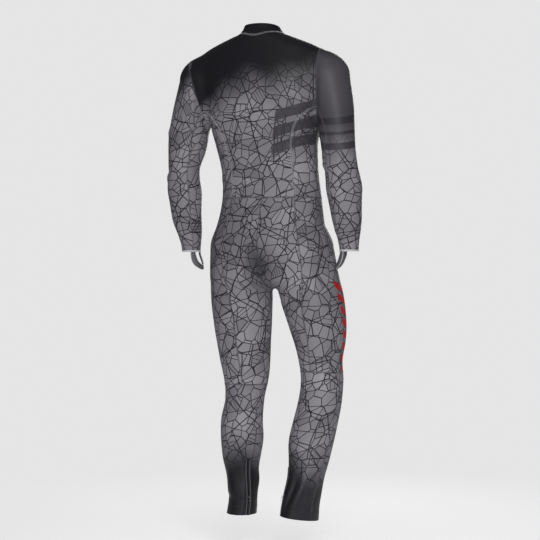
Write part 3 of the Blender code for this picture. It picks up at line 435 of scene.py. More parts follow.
def resample(points, count):
    lengths = walked_along(points)
    stops = np.linspace(0, lengths[-1], count + 1)
    return np.stack([np.interp(stops, lengths, column) for column in points.T], axis=1)


def seam(corners, count):
    corners = np.array(corners, float)
    marks = walked_along(corners)
    line = Sections("mark x y z", [(mark, *corner) for mark, corner in zip(marks, corners)])
    found = line.at(np.linspace(0, marks[-1], FINE_STOPS))
    line = np.stack([found["x"], found["y"], found["z"]], axis=1)
    line = onto_form(resample(onto_form(line), count))
    line[[0, -1]] = corners[[0, -1]]
    return line


def round_trunk(heights, angles):
    """Places near the skin, by height and by angle round the trunk from the middle of the back."""
    size, turn = TRUNK.at(heights), np.radians(angles)
    depth = np.where(np.cos(turn) > 0, size["back"], size["front"])
    x = size["x"] + size["side"] * np.sin(turn)
    return np.stack([x, size["y"] + depth * np.cos(turn), heights], axis=1)


def trunk_ring(angles, height):
    guess = round_trunk(np.full(len(angles), float(height)), angles)
    return onto_form(guess, np.tile(UP, (len(guess), 1)))


def trunk_point(angle, height):
    return trunk_ring([angle], height)[0]


def round_limb(cut, pose, heights, angles):
    """Places round a limb at these heights and angles, before they are slid onto the skin."""
    size = limb_sections(cut, pose, heights)
    turn, angles = np.radians(size["turn"]), np.radians(angles)
    across = size["side"] * np.sin(angles)
    along = np.where(np.cos(angles) > 0, size["back"], size["front"]) * np.cos(angles)
    x = size["x"] + across * np.cos(turn) - along * np.sin(turn)
    y = size["y"] + across * np.sin(turn) + along * np.cos(turn)
    return np.stack([x, y, heights + 0 * x], axis=-1)


def limb_rings(cut, pose, levels, angles):
    """Rings round one limb, from its back towards the wearer's left, one for each level."""
    heights, angles = np.meshgrid(levels, angles, indexing="ij")
    guess = round_limb(cut, pose, heights.ravel(), angles.ravel())
    return onto_form(guess, np.tile(UP, (len(guess), 1))).reshape(*heights.shape, 3)


waist_girth = steps_along(trunk_ring(np.linspace(0, 360, 73), WAIST_SEAM)).sum()
print("round the waist:", round(float(waist_girth), 3), "m")


# %% [markdown]
# The neck, the armholes and the middle of the seat need rings and lines in planes of their own. The
# armhole is a tilted ring, and the rings of a sleeve fan out round the armpit until they are level.

# %% Neck, armholes and the middle line
NECK_STEPS = 16 * FINE
NECK_TO_SHOULDER = 3 * FINE
ARMHOLE_STEPS = 20 * FINE
TO_BACK_SEAM = 7 * FINE
TO_SIDE_SEAM = 11 * FINE
TO_SLEEVE_FRONT = 14 * FINE
NECK_SIDE = 0.0660
NECK_BACK = 0.0655
NECK_FRONT = 0.0630
COLLAR_HEIGHT = 1.4526
COLLAR_TILT = 7
ARM_Y = 0.054
ARMPIT = (0.169, 1.158)
SHOULDER_POINT = {"left": (0.224, 1.368), "right": (0.190, 1.385)}
FAN_END = 1.10
FAN_TOP = 0.300
FAN_FOOT = 0.1915


def neck_ring():
    angles = np.arange(NECK_STEPS) * 2 * math.pi / NECK_STEPS
    depth = np.where(np.cos(angles) > 0, NECK_BACK, NECK_FRONT)
    y = COLLAR_SEAM[1] + depth * np.cos(angles)
    ring = np.stack([NECK_SIDE * np.sin(angles), y, angles * 0], axis=1)
    low, high = angles * 0 + 1.33, angles * 0 + 1.53
    for _ in range(30):
        ring[:, 2] = (low + high) / 2
        within = form(ring) < 0
        low = np.where(within, ring[:, 2], low)
        high = np.where(within, high, ring[:, 2])
    return ring


def collar_top():
    angles = np.arange(NECK_STEPS) * 2 * math.pi / NECK_STEPS
    tilt = math.radians(COLLAR_TILT)
    back = np.array([0, math.cos(tilt), math.sin(tilt)])
    left = np.array([1.0, 0, 0])
    spread = np.sin(angles)[:, None] * left + np.cos(angles)[:, None] * back
    middle = np.array([0, COLLAR_SEAM[1], COLLAR_HEIGHT])
    return onto_form(middle + 0.05 * spread, np.tile(np.cross(left, back), (NECK_STEPS, 1)), 16)


def ring_through(foot, top, depth):
    """A ring on the skin in the plane through two (x, height) points, from the top round the back."""
    foot, top = np.array([foot[0], ARM_Y, foot[1]]), np.array([top[0], ARM_Y, top[1]])
    half = np.linalg.norm(top - foot) / 2
    up, back = (top - foot) / (2 * half), np.array([0, 1.0, 0])
    angles = np.arange(ARMHOLE_STEPS) * 2 * math.pi / ARMHOLE_STEPS
    spread = half * np.cos(angles)[:, None] * up + depth * np.sin(angles)[:, None] * back
    return onto_form((foot + top) / 2 + spread, np.tile(np.cross(up, back), (ARMHOLE_STEPS, 1)), 24)


def armhole(side):
    sign = SIGN[side]
    top = (sign * SHOULDER_POINT[side][0], SHOULDER_POINT[side][1])
    return ring_through((sign * ARMPIT[0], ARMPIT[1]), top, 0.066)


def sleeve_rings(side):
    sign = SIGN[side]
    shoulder_x, shoulder_height = SHOULDER_POINT[side]
    rings = [armhole(side)]
    for share in np.linspace(0, 1, 9 * FINE + 1)[1:]:
        foot_x = ARMPIT[0] + (FAN_FOOT - ARMPIT[0]) * share
        foot = (sign * foot_x, ARMPIT[1] + (FAN_END - ARMPIT[1]) * share)
        turn = share * math.pi / 2
        top_x = shoulder_x + (FAN_TOP - shoulder_x) * math.sin(turn)
        top = (sign * top_x, FAN_END + (shoulder_height - FAN_END) * math.cos(turn))
        rings.append(ring_through(foot, top, 0.062))
    levels = np.linspace(FAN_END, CUFF, 12 * FINE + 1)[1:]
    angles = sign * (90 - np.arange(ARMHOLE_STEPS) * 360 / ARMHOLE_STEPS)
    return np.concatenate([np.array(rings), limb_rings(ARM_CUT, ARM_POSE[side], levels, angles)])


def centre_line(start, count, front=False):
    """The middle seam of the seat, from a height at the front or back down to the crotch."""
    away = -1 if front else 1
    down = np.linspace(start, 0.80, 40)
    angles = np.linspace(0, -math.pi / 2, 80)[1:]
    y = -0.022 + away * 0.11 * np.concatenate([down * 0 + 1, np.cos(angles)])
    z = np.concatenate([down, 0.80 + 0.11 * np.sin(angles)])
    plane = np.tile([1.0, 0, 0], (len(y), 1))
    line = onto_form(np.stack([y * 0, y, z], axis=1), plane, 20)
    line[0] = trunk_point(180 if front else 0, start) * [0, 1, 1]
    ends = line[[0, -1]]
    line = onto_form(resample(line, count), plane[: count + 1])
    line[[0, -1]] = ends
    return line


def front_line(low, top, count):
    heights = np.linspace(low, top[2], FINE_STOPS)
    size = TRUNK.at(heights)
    guess = np.stack([heights * 0, size["y"] - size["front"], heights], axis=1)
    plane = np.tile([1.0, 0, 0], (FINE_STOPS, 1))
    line = onto_form(resample(onto_form(guess, plane), count), plane[: count + 1])
    line[-1] = top
    return line


print("round each armhole:", [round(float(steps_along(armhole(side)).sum()), 3) for side in SIGN], "m")

# %% [markdown]
# ## Creases
#
# Stretch cloth has few folds, and they sit where the body bends or the cloth has room: below the
# knee of the bent leg, round the ankle zips, at the elbows and under the arms. A crease is a line
# from a top to a foot with a width and a depth. A long one is in the solids already. The short ones
# are added here, and none is like its neighbour.

# %% Creases in the solids
FOLDS = [
    # limb, top height, top angle, foot height, foot angle, half width, depth
    ("right leg", 0.152, -20, 0.018, 2, 0.010, -0.0055),
    ("right leg", 0.150, -48, 0.008, -24, 0.014, 0.0040),
    ("right leg", 0.100, -70, 0.050, -62, 0.010, 0.0035),
    ("right leg", 0.515, -37, 0.462, -11, 0.008, 0.0035),
    ("right leg", 0.520, -54, 0.436, -18, 0.008, 0.0032),
    ("right leg", 0.436, 60, 0.430, -30, 0.008, -0.0025),
    ("left leg", 0.135, 40, 0.030, 46, 0.010, 0.0035),
    ("left leg", 0.130, -96, 0.070, -84, 0.013, 0.0045),
    ("left leg", 0.110, 20, 0.030, 12, 0.014, 0.0025),
    ("left leg", 0.055, 92, 0.048, 30, 0.008, -0.0025),
    ("left leg", 0.398, -70, 0.392, 40, 0.008, 0.0022),
    ("left arm", 1.055, -96, 1.040, -40, 0.009, 0.0040),
    ("left arm", 1.120, -60, 1.060, -50, 0.010, 0.0022),
    ("left arm", 1.015, 98, 1.010, 50, 0.009, 0.0030),
    ("left arm", 1.150, 96, 1.145, 40, 0.010, 0.0024),
    ("right arm", 1.045, 92, 1.030, 40, 0.009, 0.0032),
    ("right arm", 1.265, -96, 1.262, -60, 0.009, 0.0030),
    ("right arm", 1.160, -98, 1.130, -50, 0.012, 0.0026),
    ("right arm", 0.930, 70, 0.900, 30, 0.010, -0.0020),
    ("trunk", 1.010, 84, 0.985, 40, 0.012, 0.0020),
    ("trunk", 1.010, -84, 0.980, -46, 0.012, 0.0020),
]
print("creases in the solids:", len(FOLDS))

# %% Short creases
SHORT_FOLDS = [
    # limb, top height, top angle, foot height, foot angle, half width, depth
    ("right leg", 0.168, -24, 0.004, 0, 0.012, -0.0050),
    ("right leg", 0.150, -50, 0.004, -26, 0.014, 0.0030),
    ("right leg", 0.105, -6, 0.012, 22, 0.009, 0.0026),
    ("right leg", 0.500, -66, 0.448, -40, 0.006, 0.0016),
    ("right leg", 0.470, 8, 0.440, 30, 0.006, 0.0014),
    ("right leg", 0.455, -8, 0.425, 14, 0.005, -0.0013),
    ("right leg", 0.418, -46, 0.404, 4, 0.006, 0.0015),
    ("right leg", 0.400, 20, 0.392, 66, 0.006, 0.0013),
    ("right leg", 0.470, 120, 0.466, 190, 0.008, 0.0014),
    ("right leg", 0.446, 132, 0.440, 204, 0.007, -0.0013),
    ("right leg", 0.140, 20, 0.060, 34, 0.008, 0.0018),
    ("right leg", 0.124, 44, 0.030, 58, 0.007, -0.0015),
    ("right leg", 0.110, -96, 0.030, -84, 0.008, -0.0016),
    ("right leg", 0.128, 150, 0.046, 162, 0.010, 0.0016),
    ("right leg", 0.150, 196, 0.070, 186, 0.009, 0.0014),
    ("right leg", 0.026, -60, 0.016, 4, 0.006, -0.0012),
    ("left leg", 0.158, -44, 0.010, -48, 0.009, -0.0042),
    ("left leg", 0.150, 14, 0.012, 6, 0.010, -0.0028),
    ("left leg", 0.142, 2, 0.070, -8, 0.007, -0.0016),
    ("left leg", 0.120, -34, 0.034, -44, 0.008, 0.0016),
    ("left leg", 0.112, -62, 0.050, -66, 0.006, -0.0014),
    ("left leg", 0.100, 66, 0.026, 72, 0.008, 0.0016),
    ("left leg", 0.140, 150, 0.060, 158, 0.010, 0.0016),
    ("left leg", 0.120, 204, 0.040, 196, 0.009, 0.0014),
    ("left leg", 0.048, -20, 0.038, 40, 0.006, -0.0010),
    ("left leg", 0.440, -60, 0.424, -4, 0.007, 0.0015),
    ("left leg", 0.430, 22, 0.418, 74, 0.006, 0.0013),
    ("left leg", 0.372, -52, 0.366, 10, 0.006, -0.0012),
    ("left leg", 0.360, 24, 0.352, 78, 0.006, 0.0012),
    ("left leg", 0.452, 124, 0.446, 196, 0.008, 0.0013),
    ("left leg", 0.664, -76, 0.690, -20, 0.010, 0.0022),
    ("left leg", 0.640, -78, 0.654, -34, 0.007, -0.0015),
    ("left leg", 0.696, -66, 0.716, -28, 0.009, -0.0018),
    ("right leg", 0.664, 76, 0.688, 24, 0.010, 0.0020),
    ("right leg", 0.640, 78, 0.650, 40, 0.007, -0.0014),
    ("right leg", 0.700, 60, 0.722, 30, 0.008, -0.0014),
    ("left leg", 0.690, 262, 0.716, 214, 0.009, 0.0018),
    ("right leg", 0.690, -262, 0.714, -214, 0.009, 0.0018),
    ("left arm", 1.032, 88, 1.024, 36, 0.006, -0.0013),
    ("left arm", 1.004, 92, 0.998, 30, 0.006, 0.0013),
    ("left arm", 1.070, -92, 1.062, -48, 0.006, -0.0013),
    ("left arm", 1.030, 200, 1.016, 140, 0.008, 0.0018),
    ("left arm", 1.010, 214, 1.000, 154, 0.007, 0.0015),
    ("left arm", 1.176, -94, 1.150, -44, 0.008, 0.0016),
    ("left arm", 1.200, -90, 1.188, -52, 0.007, -0.0014),
    ("left arm", 0.850, -70, 0.842, -10, 0.006, 0.0012),
    ("left arm", 0.830, 30, 0.822, 90, 0.006, 0.0011),
    ("left arm", 0.812, -80, 0.806, 0, 0.005, 0.0009),
    ("right arm", 1.020, 88, 1.012, 30, 0.006, -0.0013),
    ("right arm", 1.062, 94, 1.056, 46, 0.007, 0.0014),
    ("right arm", 1.030, -200, 1.016, -140, 0.008, 0.0018),
    ("right arm", 1.008, -212, 0.998, -150, 0.007, 0.0015),
    ("right arm", 1.130, 92, 1.116, 50, 0.008, 0.0015),
    ("right arm", 1.196, 88, 1.170, 46, 0.008, 0.0017),
    ("right arm", 0.852, 20, 0.844, 84, 0.006, 0.0012),
    ("right arm", 0.828, -90, 0.820, -24, 0.006, 0.0011),
    ("right arm", 0.806, 0, 0.812, 80, 0.005, 0.0009),
    ("trunk", 0.972, 80, 0.962, 34, 0.008, 0.0012),
    ("trunk", 1.030, 76, 1.016, 44, 0.009, -0.0012),
    ("trunk", 0.974, -82, 0.960, -30, 0.008, 0.0012),
    ("trunk", 1.034, -78, 1.018, -42, 0.009, -0.0012),
    ("trunk", 0.930, 74, 0.922, 26, 0.008, 0.0011),
    ("trunk", 0.928, -70, 0.918, -24, 0.008, 0.0011),
    ("trunk", 1.000, 110, 0.985, 160, 0.010, 0.0015),
    ("trunk", 1.004, -112, 0.988, -158, 0.010, 0.0015),
    ("trunk", 1.190, 66, 1.160, 44, 0.010, 0.0018),
    ("trunk", 1.190, -66, 1.160, -44, 0.010, 0.0018),
    ("trunk", 1.262, 68, 1.205, 57, 0.007, 0.0030),
    ("trunk", 1.300, -62, 1.225, -57, 0.006, 0.0030),
    ("trunk", 1.285, -72, 1.215, -64, 0.005, -0.0026),
    ("trunk", 0.792, 10, 0.716, 24, 0.014, -0.0060),
    ("trunk", 0.800, -8, 0.730, -22, 0.012, -0.0030),
    ("trunk", 0.770, 4, 0.752, 20, 0.008, 0.0012),
    ("trunk", 0.768, -6, 0.750, -22, 0.008, 0.0012),
]
ARMHOLE_FOLDS = [
    # side, first and last angle round the armhole from its top over the back, half width, depth
    ("left", 66, 188, 0.012, -0.0085),
    ("right", 50, 190, 0.012, -0.0090),
    ("left", 250, 320, 0.010, -0.0030),
    ("right", 250, 320, 0.010, -0.0030),
]
print("more creases:", len(SHORT_FOLDS) + len(ARMHOLE_FOLDS))

# %% [markdown]
# A crease's row becomes a line round its limb. Each point of cloth near that line is pushed in or
# out, most at the line itself and less and less away from it, as a bell curve falls. The push also
# fades at both ends, so no crease stops dead. A faint ripple is added everywhere, because worn
# cloth is never quite even.

# %% From a crease's row to a trough or a ridge


def fold_line(limb, top, top_angle, foot, foot_angle, stops=9):
    share = np.linspace(0, 1, stops)
    heights = top + (foot - top) * share
    angles = top_angle + (foot_angle - top_angle) * share
    if limb == "trunk":
        return round_trunk(heights, angles)
    side, kind = limb.split()
    cut, poses = (LEG_CUT, LEG_POSE) if kind == "leg" else (ARM_CUT, ARM_POSE)
    return round_limb(cut, poses[side], heights, angles)


def crease(points, line, half_width, depth):
    """A soft trough or ridge along a line, which fades out at both ends. It adds nothing far away."""
    lift = np.zeros(len(points))
    near = ((points > line.min(0) - 3 * half_width) & (points < line.max(0) + 3 * half_width)).all(1)
    close = points[near]
    best = np.full(len(close), 1e9)
    place = np.zeros(len(close))
    for step in range(len(line) - 1):
        run = line[step + 1] - line[step]
        share = np.clip(((close - line[step]) @ run) / (run @ run), 0, 1)
        gap = np.linalg.norm(close - line[step] - share[:, None] * run, axis=1)
        place = np.where(gap < best, (step + share) / (len(line) - 1), place)
        best = np.minimum(gap, best)
    taper = np.sin(np.pi * np.clip(0.08 + 0.84 * place, 0, 1))
    lift[near] = depth * taper * np.exp(-((best / half_width) ** 2))
    return lift


def armhole_line(side, first, last, stops=12):
    ring = armhole(side)
    angles = np.linspace(first, last, stops) / 360 * len(ring)
    return ring[np.round(angles).astype(int)]


RIPPLE = 0.00022


def ripple(points):
    """The slight unevenness of cloth that is held by stretch alone."""
    x, y, z = points.T
    waves = np.sin(41 * x + 23 * z + 1.3) + np.sin(37 * y - 31 * z + 0.4)
    waves = waves + np.sin(29 * x + 47 * y + 53 * z)
    return RIPPLE * waves


CREASES = [(fold_line(*fold[:5]), *fold[5:]) for fold in FOLDS + SHORT_FOLDS]
CREASES += [(armhole_line(*fold[:3]), *fold[3:]) for fold in ARMHOLE_FOLDS]


def cloth_lift(points):
    """How far creases and unevenness push each point of the cloth outwards."""
    flat = points.reshape(-1, 3)
    lift = ripple(flat)
    for line, half_width, depth in CREASES:
        lift = lift + crease(flat, line, half_width, depth)
    return lift.reshape(points.shape[:-1] + (1,))


print("creases:", len(CREASES))

# %% [markdown]
# ## Finishes
#
# The knit has three looks at once: fine ribs that only a close view shows, a print, and a dull
# sheen that makes the fibres glow where the cloth turns away. Ribs and print are node groups, so
# that every panel reads the same ones. Both work in metres on the flat cut, which is stored as a UV
# map, so a rib or a shard is the same size on a sleeve and on a leg, and breaks off at a seam.

# %% Helpers for nodes


def srgb(red, green, blue):
    """A colour as the eye reads it on screen, from 0 to 255, as the linear values that nodes want."""
    parts = np.array([red, green, blue]) / 255
    linear = np.where(parts < 0.04045, parts / 12.92, ((parts + 0.055) / 1.055) ** 2.4)
    return (*[float(part) for part in linear], 1.0)


def plug(tree, socket, value):
    if isinstance(value, bpy.types.NodeSocket):
        tree.links.new(value, socket)
    elif value is not None:
        socket.default_value = value


def compute(tree, operation, *values):
    node = tree.nodes.new("ShaderNodeMath")
    node.operation = operation
    for socket, value in zip(node.inputs, values):
        plug(tree, socket, value)
    return node.outputs[0]


def vector(tree, operation, *values, out="Vector"):
    node = tree.nodes.new("ShaderNodeVectorMath")
    node.operation = operation
    for socket, value in zip(node.inputs, values):
        plug(tree, socket, value)
    return node.outputs[out]


def flipped(tree, mask):
    """1 where the mask is 0, and the other way round."""
    return compute(tree, "SUBTRACT", 1.0, mask)


def parts_of(tree, value, kind="XYZ"):
    split = tree.nodes.new("ShaderNodeSeparate" + kind)
    plug(tree, split.inputs[0], value)
    return split.outputs


def soft_edge(tree, value, low, high):
    """0 below low, 1 above high, and a smooth rise between them."""
    node = tree.nodes.new("ShaderNodeMapRange")
    node.interpolation_type = "SMOOTHSTEP"
    for name, given in (("Value", value), ("From Min", low), ("From Max", high)):
        plug(tree, node.inputs[name], given)
    return node.outputs["Result"]


def mix_colour(tree, share, first, second):
    node = tree.nodes.new("ShaderNodeMix")
    node.data_type = "RGBA"
    for socket, value in ((node.inputs[0], share), (node.inputs[6], first), (node.inputs[7], second)):
        plug(tree, socket, value)
    return node.outputs[2]


def new_group(name, inputs, outputs):
    """An empty node group with named sockets, and its two end nodes."""
    tree = bpy.data.node_groups.new(name, "ShaderNodeTree")
    for socket, kind, value in inputs:
        made = tree.interface.new_socket(name=socket, in_out="INPUT", socket_type=kind)
        if value is not None:
            made.default_value = value
    for socket, kind in outputs:
        tree.interface.new_socket(name=socket, in_out="OUTPUT", socket_type=kind)
    return tree, tree.nodes.new("NodeGroupInput").outputs, tree.nodes.new("NodeGroupOutput").inputs


def use_group(tree, group, **values):
    node = tree.nodes.new("ShaderNodeGroup")
    node.node_tree = group
    for name, value in values.items():
        plug(tree, node.inputs[name.replace("_", " ")], value)
    return node.outputs


# %% [markdown]
# The print is of broken shards. Two Voronoi textures, stretched different ways, lie over each other,
# so their outlines cross and leave angular shards, and a third with few large cells adds bolder
# cracks. The distance to the nearest cell edge draws an outline at an even width. Every cell of the
# first set also gets a random colour, whose parts choose its tone, whether it is hatched, and the
# direction of the hatching.

# %% Shard print
SMALL_SHARD = 0.0285
CROSSING_SHARD = 0.050
LARGE_SHARD = 0.118
PRINT_TURN = 24
HATCHED_SHARE = 0.20


def shard_cells(tree, place, size, sort):
    """The colour of each cell, and metres to its nearest edge."""
    cells = tree.nodes.new("ShaderNodeTexVoronoi")
    edges = tree.nodes.new("ShaderNodeTexVoronoi")
    edges.feature = "DISTANCE_TO_EDGE"
    moved = vector(tree, "ADD", place, (sort, 0.7 * sort, 0))
    for texture in (cells, edges):
        texture.voronoi_dimensions = "2D"
        texture.inputs["Scale"].default_value = 1 / size
        plug(tree, texture.inputs["Vector"], moved)
    return cells.outputs["Color"], compute(tree, "MULTIPLY", edges.outputs["Distance"], size)


def drawn_line(tree, from_line, width, thin=0.55, wide=1.45):
    """Ink along a line: full at its middle, and none past its width."""
    half = compute(tree, "MULTIPLY", width, 0.5)
    low, high = compute(tree, "MULTIPLY", half, thin), compute(tree, "MULTIPLY", half, wide)
    return flipped(tree, soft_edge(tree, from_line, low, high))


def shard_group():
    tree, given, result = new_group(
        "shard print",
        [
            ("Place", "NodeSocketVector", None),
            ("Line width", "NodeSocketFloat", 0.0021),
            ("Hatch pitch", "NodeSocketFloat", 0.0110),
        ],
        [("Ink", "NodeSocketFloat"), ("Tone", "NodeSocketFloat")],
    )
    turned = tree.nodes.new("ShaderNodeVectorRotate")
    turned.rotation_type = "Z_AXIS"
    turned.inputs["Angle"].default_value = math.radians(PRINT_TURN)
    plug(tree, turned.inputs["Vector"], given["Place"])
    tall = vector(tree, "MULTIPLY", turned.outputs[0], (1.0, 0.70, 1.0))
    wide = vector(tree, "MULTIPLY", given["Place"], (0.62, 1.0, 1.0))
    small, small_edge = shard_cells(tree, tall, SMALL_SHARD, 0.0)
    crossing, crossing_edge = shard_cells(tree, wide, CROSSING_SHARD, 1.7)
    large, large_edge = shard_cells(tree, turned.outputs[0], LARGE_SHARD, 3.1)
    nearest = compute(tree, "MINIMUM", small_edge, crossing_edge)
    outline = drawn_line(tree, nearest, given["Line width"])
    bold = drawn_line(tree, large_edge, compute(tree, "MULTIPLY", given["Line width"], 1.5))
    red, green, blue = parts_of(tree, small, "Color")
    angle = compute(tree, "MULTIPLY", red, math.pi)
    way = tree.nodes.new("ShaderNodeCombineXYZ")
    plug(tree, way.inputs[0], compute(tree, "COSINE", angle))
    plug(tree, way.inputs[1], compute(tree, "SINE", angle))
    across = vector(tree, "DOT_PRODUCT", given["Place"], way.outputs[0], out="Value")
    pitch = compute(tree, "MULTIPLY", given["Hatch pitch"], compute(tree, "ADD", green, 0.7))
    beat = compute(tree, "FRACT", compute(tree, "ADD", compute(tree, "DIVIDE", across, pitch), green))
    from_middle = compute(tree, "ABSOLUTE", compute(tree, "SUBTRACT", beat, 0.5))
    from_line = compute(tree, "MULTIPLY", from_middle, pitch)
    hatch = drawn_line(tree, from_line, compute(tree, "MULTIPLY", given["Line width"], 0.8))
    chosen = compute(tree, "LESS_THAN", blue, HATCHED_SHARE)
    lines = compute(tree, "MAXIMUM", outline, bold)
    hatch = compute(tree, "MULTIPLY", hatch, chosen)
    plug(tree, result["Ink"], compute(tree, "MAXIMUM", lines, hatch))
    tone = compute(tree, "MULTIPLY", red, 0.4)
    tone = compute(tree, "MULTIPLY_ADD", parts_of(tree, crossing, "Color")[0], 0.4, tone)
    tone = compute(tree, "MULTIPLY_ADD", parts_of(tree, large, "Color")[0], 0.2, tone)
    plug(tree, result["Tone"], tone)
    return tree


SHARDS = shard_group()
print("shard print:", len(SHARDS.nodes), "nodes")


# %% Ribs of the knit
def rib_group():
    tree, given, result = new_group(
        "knit ribs",
        [("Place", "NodeSocketVector", None), ("Ribs per metre", "NodeSocketFloat", 900.0)],
        [("Height", "NodeSocketFloat"), ("Wear", "NodeSocketFloat")],
    )
    u, v, _ = parts_of(tree, given["Place"])
    turns = compute(tree, "MULTIPLY", given["Ribs per metre"], 2 * math.pi)
    across = compute(tree, "SINE", compute(tree, "MULTIPLY", u, turns))
    along = compute(tree, "SINE", compute(tree, "MULTIPLY", v, turns))
    loops = compute(tree, "MULTIPLY_ADD", along, 0.35, across)
    plug(tree, result["Height"], compute(tree, "MULTIPLY_ADD", loops, 0.35, 0.5))
    cloud = tree.nodes.new("ShaderNodeTexNoise")
    cloud.inputs["Scale"].default_value = 26
    cloud.inputs["Detail"].default_value = 4
    plug(tree, cloud.inputs["Vector"], given["Place"])
    plug(tree, result["Wear"], cloud.outputs["Fac"])
    return tree


RIBS = rib_group()
print("node groups:", [group.name for group in bpy.data.node_groups])

# %% [markdown]
# ## The printed knit
#
# The print is not everywhere. It sinks into near black at the yoke and the ankles, and the wearer's
# right sleeve is plain at the top. Those areas follow the garment and not the cut, so they are worked
# out for each point of the cloth and stored on the mesh as a vector: how dark, how plain, and how
# far inside a tonal panel. The darkness also holds painted shade, in the seat's cleft and over the
# left buttock. The material only reads it.

# %% The printed knit
PRINT_LIGHT = srgb(150, 147, 153)
PRINT_DEEP = srgb(106, 104, 109)
PRINT_INK = srgb(26, 24, 29)
PLAIN_GREY = srgb(80, 78, 83)
TONAL_GREY = srgb(50, 48, 54)
NEAR_BLACK = srgb(24, 23, 28)
BAR_RED = srgb(196, 22, 26)


def new_material(name):
    made = bpy.data.materials.new(name)
    made.use_nodes = True
    shader = made.node_tree.nodes["Principled BSDF"]
    return made, made.node_tree, shader


def flat_cut(tree, layer="cut"):
    place = tree.nodes.new("ShaderNodeUVMap")
    place.uv_map = layer
    return place.outputs[0]


def raise_surface(tree, shader, height, distance, strength):
    """Light falls as if the surface rose by this height."""
    bump = tree.nodes.new("ShaderNodeBump")
    bump.inputs["Distance"].default_value = distance
    bump.inputs["Strength"].default_value = strength
    plug(tree, bump.inputs["Height"], height)
    plug(tree, shader.inputs["Normal"], bump.outputs[0])


def knit_surface(tree, shader, colour, place, roughness=0.50, gloss=0.20, ribs=900.0, depth=0.00006):
    """Ribs, an uneven dullness and a soft sheen, over any colour."""
    knit = use_group(tree, RIBS, Place=place, Ribs_per_metre=ribs)
    raise_surface(tree, shader, knit["Height"], depth, 0.6)
    plug(tree, shader.inputs["Base Color"], colour)
    rough = compute(tree, "MULTIPLY_ADD", knit["Wear"], 0.16, roughness - 0.08)
    plug(tree, shader.inputs["Roughness"], rough)
    shader.inputs["Specular IOR Level"].default_value = gloss
    shader.inputs["Sheen Weight"].default_value = 0.03
    shader.inputs["Sheen Roughness"].default_value = 0.35
    shader.inputs["Sheen Tint"].default_value = srgb(214, 214, 222)


def printed_knit(name, bars=False):
    made, tree, shader = new_material(name)
    place = flat_cut(tree)
    shards = use_group(tree, SHARDS, Place=place)
    areas = tree.nodes.new("ShaderNodeAttribute")
    areas.attribute_name = "areas"
    dark, plain, inside = parts_of(tree, areas.outputs["Vector"])
    ground = mix_colour(tree, shards["Tone"], PRINT_DEEP, PRINT_LIGHT)
    ink = compute(tree, "MULTIPLY", shards["Ink"], flipped(tree, plain))
    colour = mix_colour(tree, plain, ground, PLAIN_GREY)
    tonal = soft_edge(tree, inside, -0.0008, 0.0008)
    ink = compute(tree, "MULTIPLY", ink, compute(tree, "MULTIPLY_ADD", tonal, -0.6, 1.0))
    colour = mix_colour(tree, compute(tree, "MULTIPLY", tonal, 0.8), colour, TONAL_GREY)
    colour = mix_colour(tree, ink, colour, PRINT_INK)
    # dark holds the print's near-black areas and the painted shade at the seat.
    colour = mix_colour(tree, dark, colour, NEAR_BLACK)
    if bars:
        mask = use_group(tree, BARS, Place=flat_cut(tree, "bars"))["Mask"]
        colour = mix_colour(tree, mask, colour, BAR_RED)
    knit_surface(tree, shader, colour, place)
    return made


# %% [markdown]
# A column of plain slanted bars runs down the outside of the right thigh, in red. They are drawn by
# arithmetic on a second UV map, which counts metres round the limb from the side seam and up it.

# %% Slanted bars
BARS_TOP = 0.706
BAR_COUNT = 8
BAR_PITCH = 0.036
BAR_HEIGHT = 0.022
BAR_WIDTH = 0.060
BAR_REAR = -0.030  # the column's rear edge at its top, from the side seam
COLUMN_LEAN = 0.16  # how far that edge moves forwards for each metre further down
BAR_SLANT = 0.35
BAR_EDGE = 0.0003  # half of the width in which a bar's end fades


def bar_group():
    tree, given, result = new_group(
        "slanted bars", [("Place", "NodeSocketVector", None)], [("Mask", "NodeSocketFloat")]
    )
    round_thigh, height, _ = parts_of(tree, given["Place"])
    fallen = compute(tree, "SUBTRACT", BARS_TOP, height)
    rear = compute(tree, "MULTIPLY_ADD", fallen, COLUMN_LEAN, BAR_REAR)
    across = compute(tree, "SUBTRACT", round_thigh, rear)
    slanted = compute(tree, "MULTIPLY_ADD", across, -BAR_SLANT, fallen)
    count = compute(tree, "DIVIDE", slanted, BAR_PITCH)
    beat = compute(tree, "FRACT", count)
    from_middle = compute(tree, "ABSOLUTE", compute(tree, "SUBTRACT", beat, 0.5))
    half = BAR_HEIGHT / BAR_PITCH / 2
    inside = flipped(tree, soft_edge(tree, from_middle, half - 0.008, half + 0.008))
    limits = [
        soft_edge(tree, across, -BAR_EDGE, BAR_EDGE),
        flipped(tree, soft_edge(tree, across, BAR_WIDTH - BAR_EDGE, BAR_WIDTH + BAR_EDGE)),
        compute(tree, "GREATER_THAN", count, 0.0),
        compute(tree, "LESS_THAN", count, BAR_COUNT),
    ]
    for limit in limits:
        inside = compute(tree, "MULTIPLY", inside, limit)
    plug(tree, result["Mask"], inside)
    return tree


BARS = bar_group()
PRINT_KNIT = printed_knit("printed_knit")
BAR_KNIT = printed_knit("printed_knit_with_bars", bars=True)
print("bars:", BAR_COUNT, "printed knits: 2")

# %% [markdown]
# ## The other finishes
#
# The collar is plain near-black knit. Bindings are a pale woven elastic, thread is pale or dark, and
# the inside of every panel is unprinted. Zip tapes are a coarse twill, teeth are moulded, and the
# slider and its pull are dark satin metal with fine scratches.

# %% The other finishes


def plain_knit(name, colour, layer="cut", **surface):
    made, tree, shader = new_material(name)
    place = flat_cut(tree, layer)
    knit = use_group(tree, RIBS, Place=place)
    tint = mix_colour(tree, compute(tree, "MULTIPLY", knit["Wear"], 0.10), colour, PLAIN_GREY)
    knit_surface(tree, shader, tint, place, **surface)
    return made


